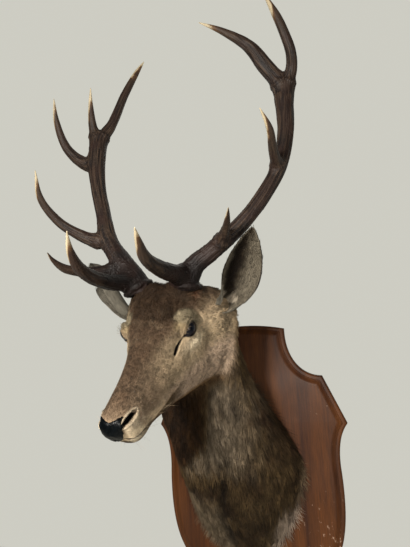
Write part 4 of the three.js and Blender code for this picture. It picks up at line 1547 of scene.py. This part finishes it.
def boardOutline():
    runs = [bezier(count, corners) for count, corners in board["runs"]]
    right = np.concatenate([run[:-1] for run in runs] + [runs[-1][-1:]])
    return np.concatenate([right, (right * (-1, 1))[1:-1][::-1]])


def insideOf(points, outline):
    # distance from each point to the nearest edge of the outline
    start, run = outline, np.roll(outline, -1, axis=0) - outline
    away = points[:, None] - start[None]
    share = np.clip((away * run).sum(axis=2) / (run * run).sum(axis=1), 0, 1)
    return np.linalg.norm(away - share[..., None] * run, axis=2).min(axis=1)


def makeBoard():
    outline = boardOutline()
    into = unit(outline - np.roll(outline, 1, axis=0))
    out = unit(np.roll(outline, -1, axis=0) - outline)
    inward = unit(np.stack([into[:, 1] + out[:, 1], -into[:, 0] - out[:, 0]], axis=1))
    count = len(outline)
    corners = np.where((into * out).sum(axis=1) < 0.9)[0]
    stretch = np.maximum((inward * np.stack([out[:, 1], -out[:, 0]], axis=1)).sum(axis=1), 0.5)
    points = []
    for inset, y in board["moulding"]:
        ring = outline + inward * (inset / stretch)[:, None]
        # next to a corner the inner lines would cross: they gather on its mitre instead
        for k in np.where(insideOf(ring, outline) < inset * 0.985)[0]:
            corner = corners[np.argmin(np.abs((corners - k + count // 2) % count - count // 2))]
            ring[k] = ring[corner]
        points.append(np.stack([ring[:, 0], np.full(len(ring), float(y)), ring[:, 1]], axis=1))
    faces = gridFaces(len(points), count).tolist()
    faces.append(list(range(count))[::-1])
    faces.append([(len(points) - 1) * count + i for i in range(count)])
    mesh = newMesh("shield", np.concatenate(points), faces)
    mesh.set_sharp_from_angle(angle=math.radians(38))
    return newPiece("shield", mesh)


def boardFinish(tree):
    # mahogany stained red-brown under an old varnish: upright grain 2 to 4 mm wide, scuffed towards its foot
    place = ownPlace(tree)
    upright = stretched(tree, place, Scale=(1, 1, 0.06))
    bent = shaded(tree, grainOf(tree, upright, 14.0, 2.0, part="Color"), 0.02)
    moved = addNode(tree, "ShaderNodeVectorMath", {0: upright, 1: bent}, operation="ADD").outputs[0]
    band = mapped(tree, grainOf(tree, moved, 34.0, 3.0), 0.3, 0.7)
    streak = mapped(tree, grainOf(tree, moved, 420.0, 4.0, 0.65), 0.35, 0.65, 0.72, 1.2)
    stained = shaded(tree, mixed(tree, band, "#291204", "#4b290b"), streak)
    pores = grainOf(tree, stretched(tree, place, Scale=(1, 1, 0.12)), 900.0, 1.0)
    # scuffs: short pale flecks, thicker towards the stag's left foot of the board
    fleck = grainOf(tree, stretched(tree, place, Scale=(1, 1, 0.35), Rotation=(0, 0.5, 0)), 150.0, 3.0, 0.7)
    patch = grainOf(tree, place, 9.0, 2.0)
    parts = addNode(tree, "ShaderNodeSeparateXYZ", {0: place}).outputs
    worn = number(tree, "MULTIPLY", mapped(tree, parts["Z"], 0.0, -0.2), mapped(tree, parts["X"], 0.04, 0.2))
    more = number(tree, "MULTIPLY_ADD", patch, 0.12, number(tree, "MULTIPLY_ADD", worn, 0.13, fleck))
    return {
        "Base Color": mixed(tree, mapped(tree, more, 0.79, 0.84, 0.0, 0.55), stained, "#b39a86"),
        "Roughness": mapped(tree, patch, 0.3, 0.7, 0.45, 0.65),
        "Normal": bumped(tree, pores, 0.0004, 0.35),
    }


boardPiece = makeBoard()
dress(boardPiece, newMaterial("stained mahogany", boardFinish, **{"IOR": 1.45, "Specular IOR Level": 0.22}))
print("board made")

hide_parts("neck", "head", "muzzle", "lower_jaw", "ear_left", "ear_right")
for side, piece in antlerPieces.items():
    onSide = [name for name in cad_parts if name.endswith("_" + side)]
    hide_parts(*[name for name in onSide if name.split("_")[0] not in ("ear", "eye")])
for side, piece in zip(("left", "right"), eyePieces):
    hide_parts("eye_" + side)
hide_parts("nose_pad")
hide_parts("shield_board")
for piece in [skinPiece, nosePiece, boardPiece, *coatPieces, *antlerPieces.values(), *eyePieces]:
    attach(piece, "root")

studio = {
    "floor": [(-1900, -2100, -760), (1900, -2100, -760), (1900, 900, -760), (-1900, 900, -760)],
    # place and aim in metres, width in metres, watts
    "lamps": {
        "key": ((-0.198, -1.54, 0.54), (-0.05, -0.25, 0.25), 0.26, 40),
        "fill": ((0.75, -1.5, 0.1), (-0.05, -0.3, 0.25), 0.7, 14),
        "back": ((-0.4, 1.4, 1.5), (0, -0.1, 0.4), 1.6, 8),
    },
    "lampColour": "#fff8ef",
    "roomColour": "#d4d3c9",
    "roomGlow": 0.93,
}


def makeStudio():
    floor = newPiece("floor", newMesh("floor", studio["floor"], [(0, 1, 2, 3)]))
    dress(floor, newMaterial("pale floor", lambda tree: {}, **{
        "Base Color": toLinear("#d3d2c9"), "Roughness": 0.9}))
    for name, (place, aim, width, power) in studio["lamps"].items():
        light = bpy.data.lights.new(name, "AREA")
        light.size = width
        light.energy = power
        light.color = toLinear(studio["lampColour"])[:3]
        lamp = newPiece(name, light)
        lamp.location = place
        lamp.rotation_mode = "QUATERNION"
        lamp.rotation_quaternion = (Vector(aim) - Vector(place)).to_track_quat("-Z", "Y")
    # the room is palest on the wall's side, which throws a soft light back round the stag
    world = bpy.data.worlds.new("pale room")
    bpy.context.scene.world = world
    world.use_nodes = True
    tree = world.node_tree
    direction = addNode(tree, "ShaderNodeTexCoord").outputs["Generated"]
    backwards = addNode(tree, "ShaderNodeSeparateXYZ", {0: direction}).outputs["Y"]
    seen = addNode(tree, "ShaderNodeLightPath").outputs["Is Camera Ray"]
    soft = mapped(tree, backwards, -0.1, 0.55, 0.12, studio["roomGlow"])
    glow = addNode(tree, "ShaderNodeMix", {
        "Factor": seen, 2: soft, 3: studio["roomGlow"]}, data_type="FLOAT").outputs[0]
    background = tree.nodes["Background"]
    background.inputs["Color"].default_value = toLinear(studio["roomColour"])
    tree.links.new(glow, background.inputs["Strength"])


makeStudio()
bpy.context.scene.view_settings.view_transform = "Standard"
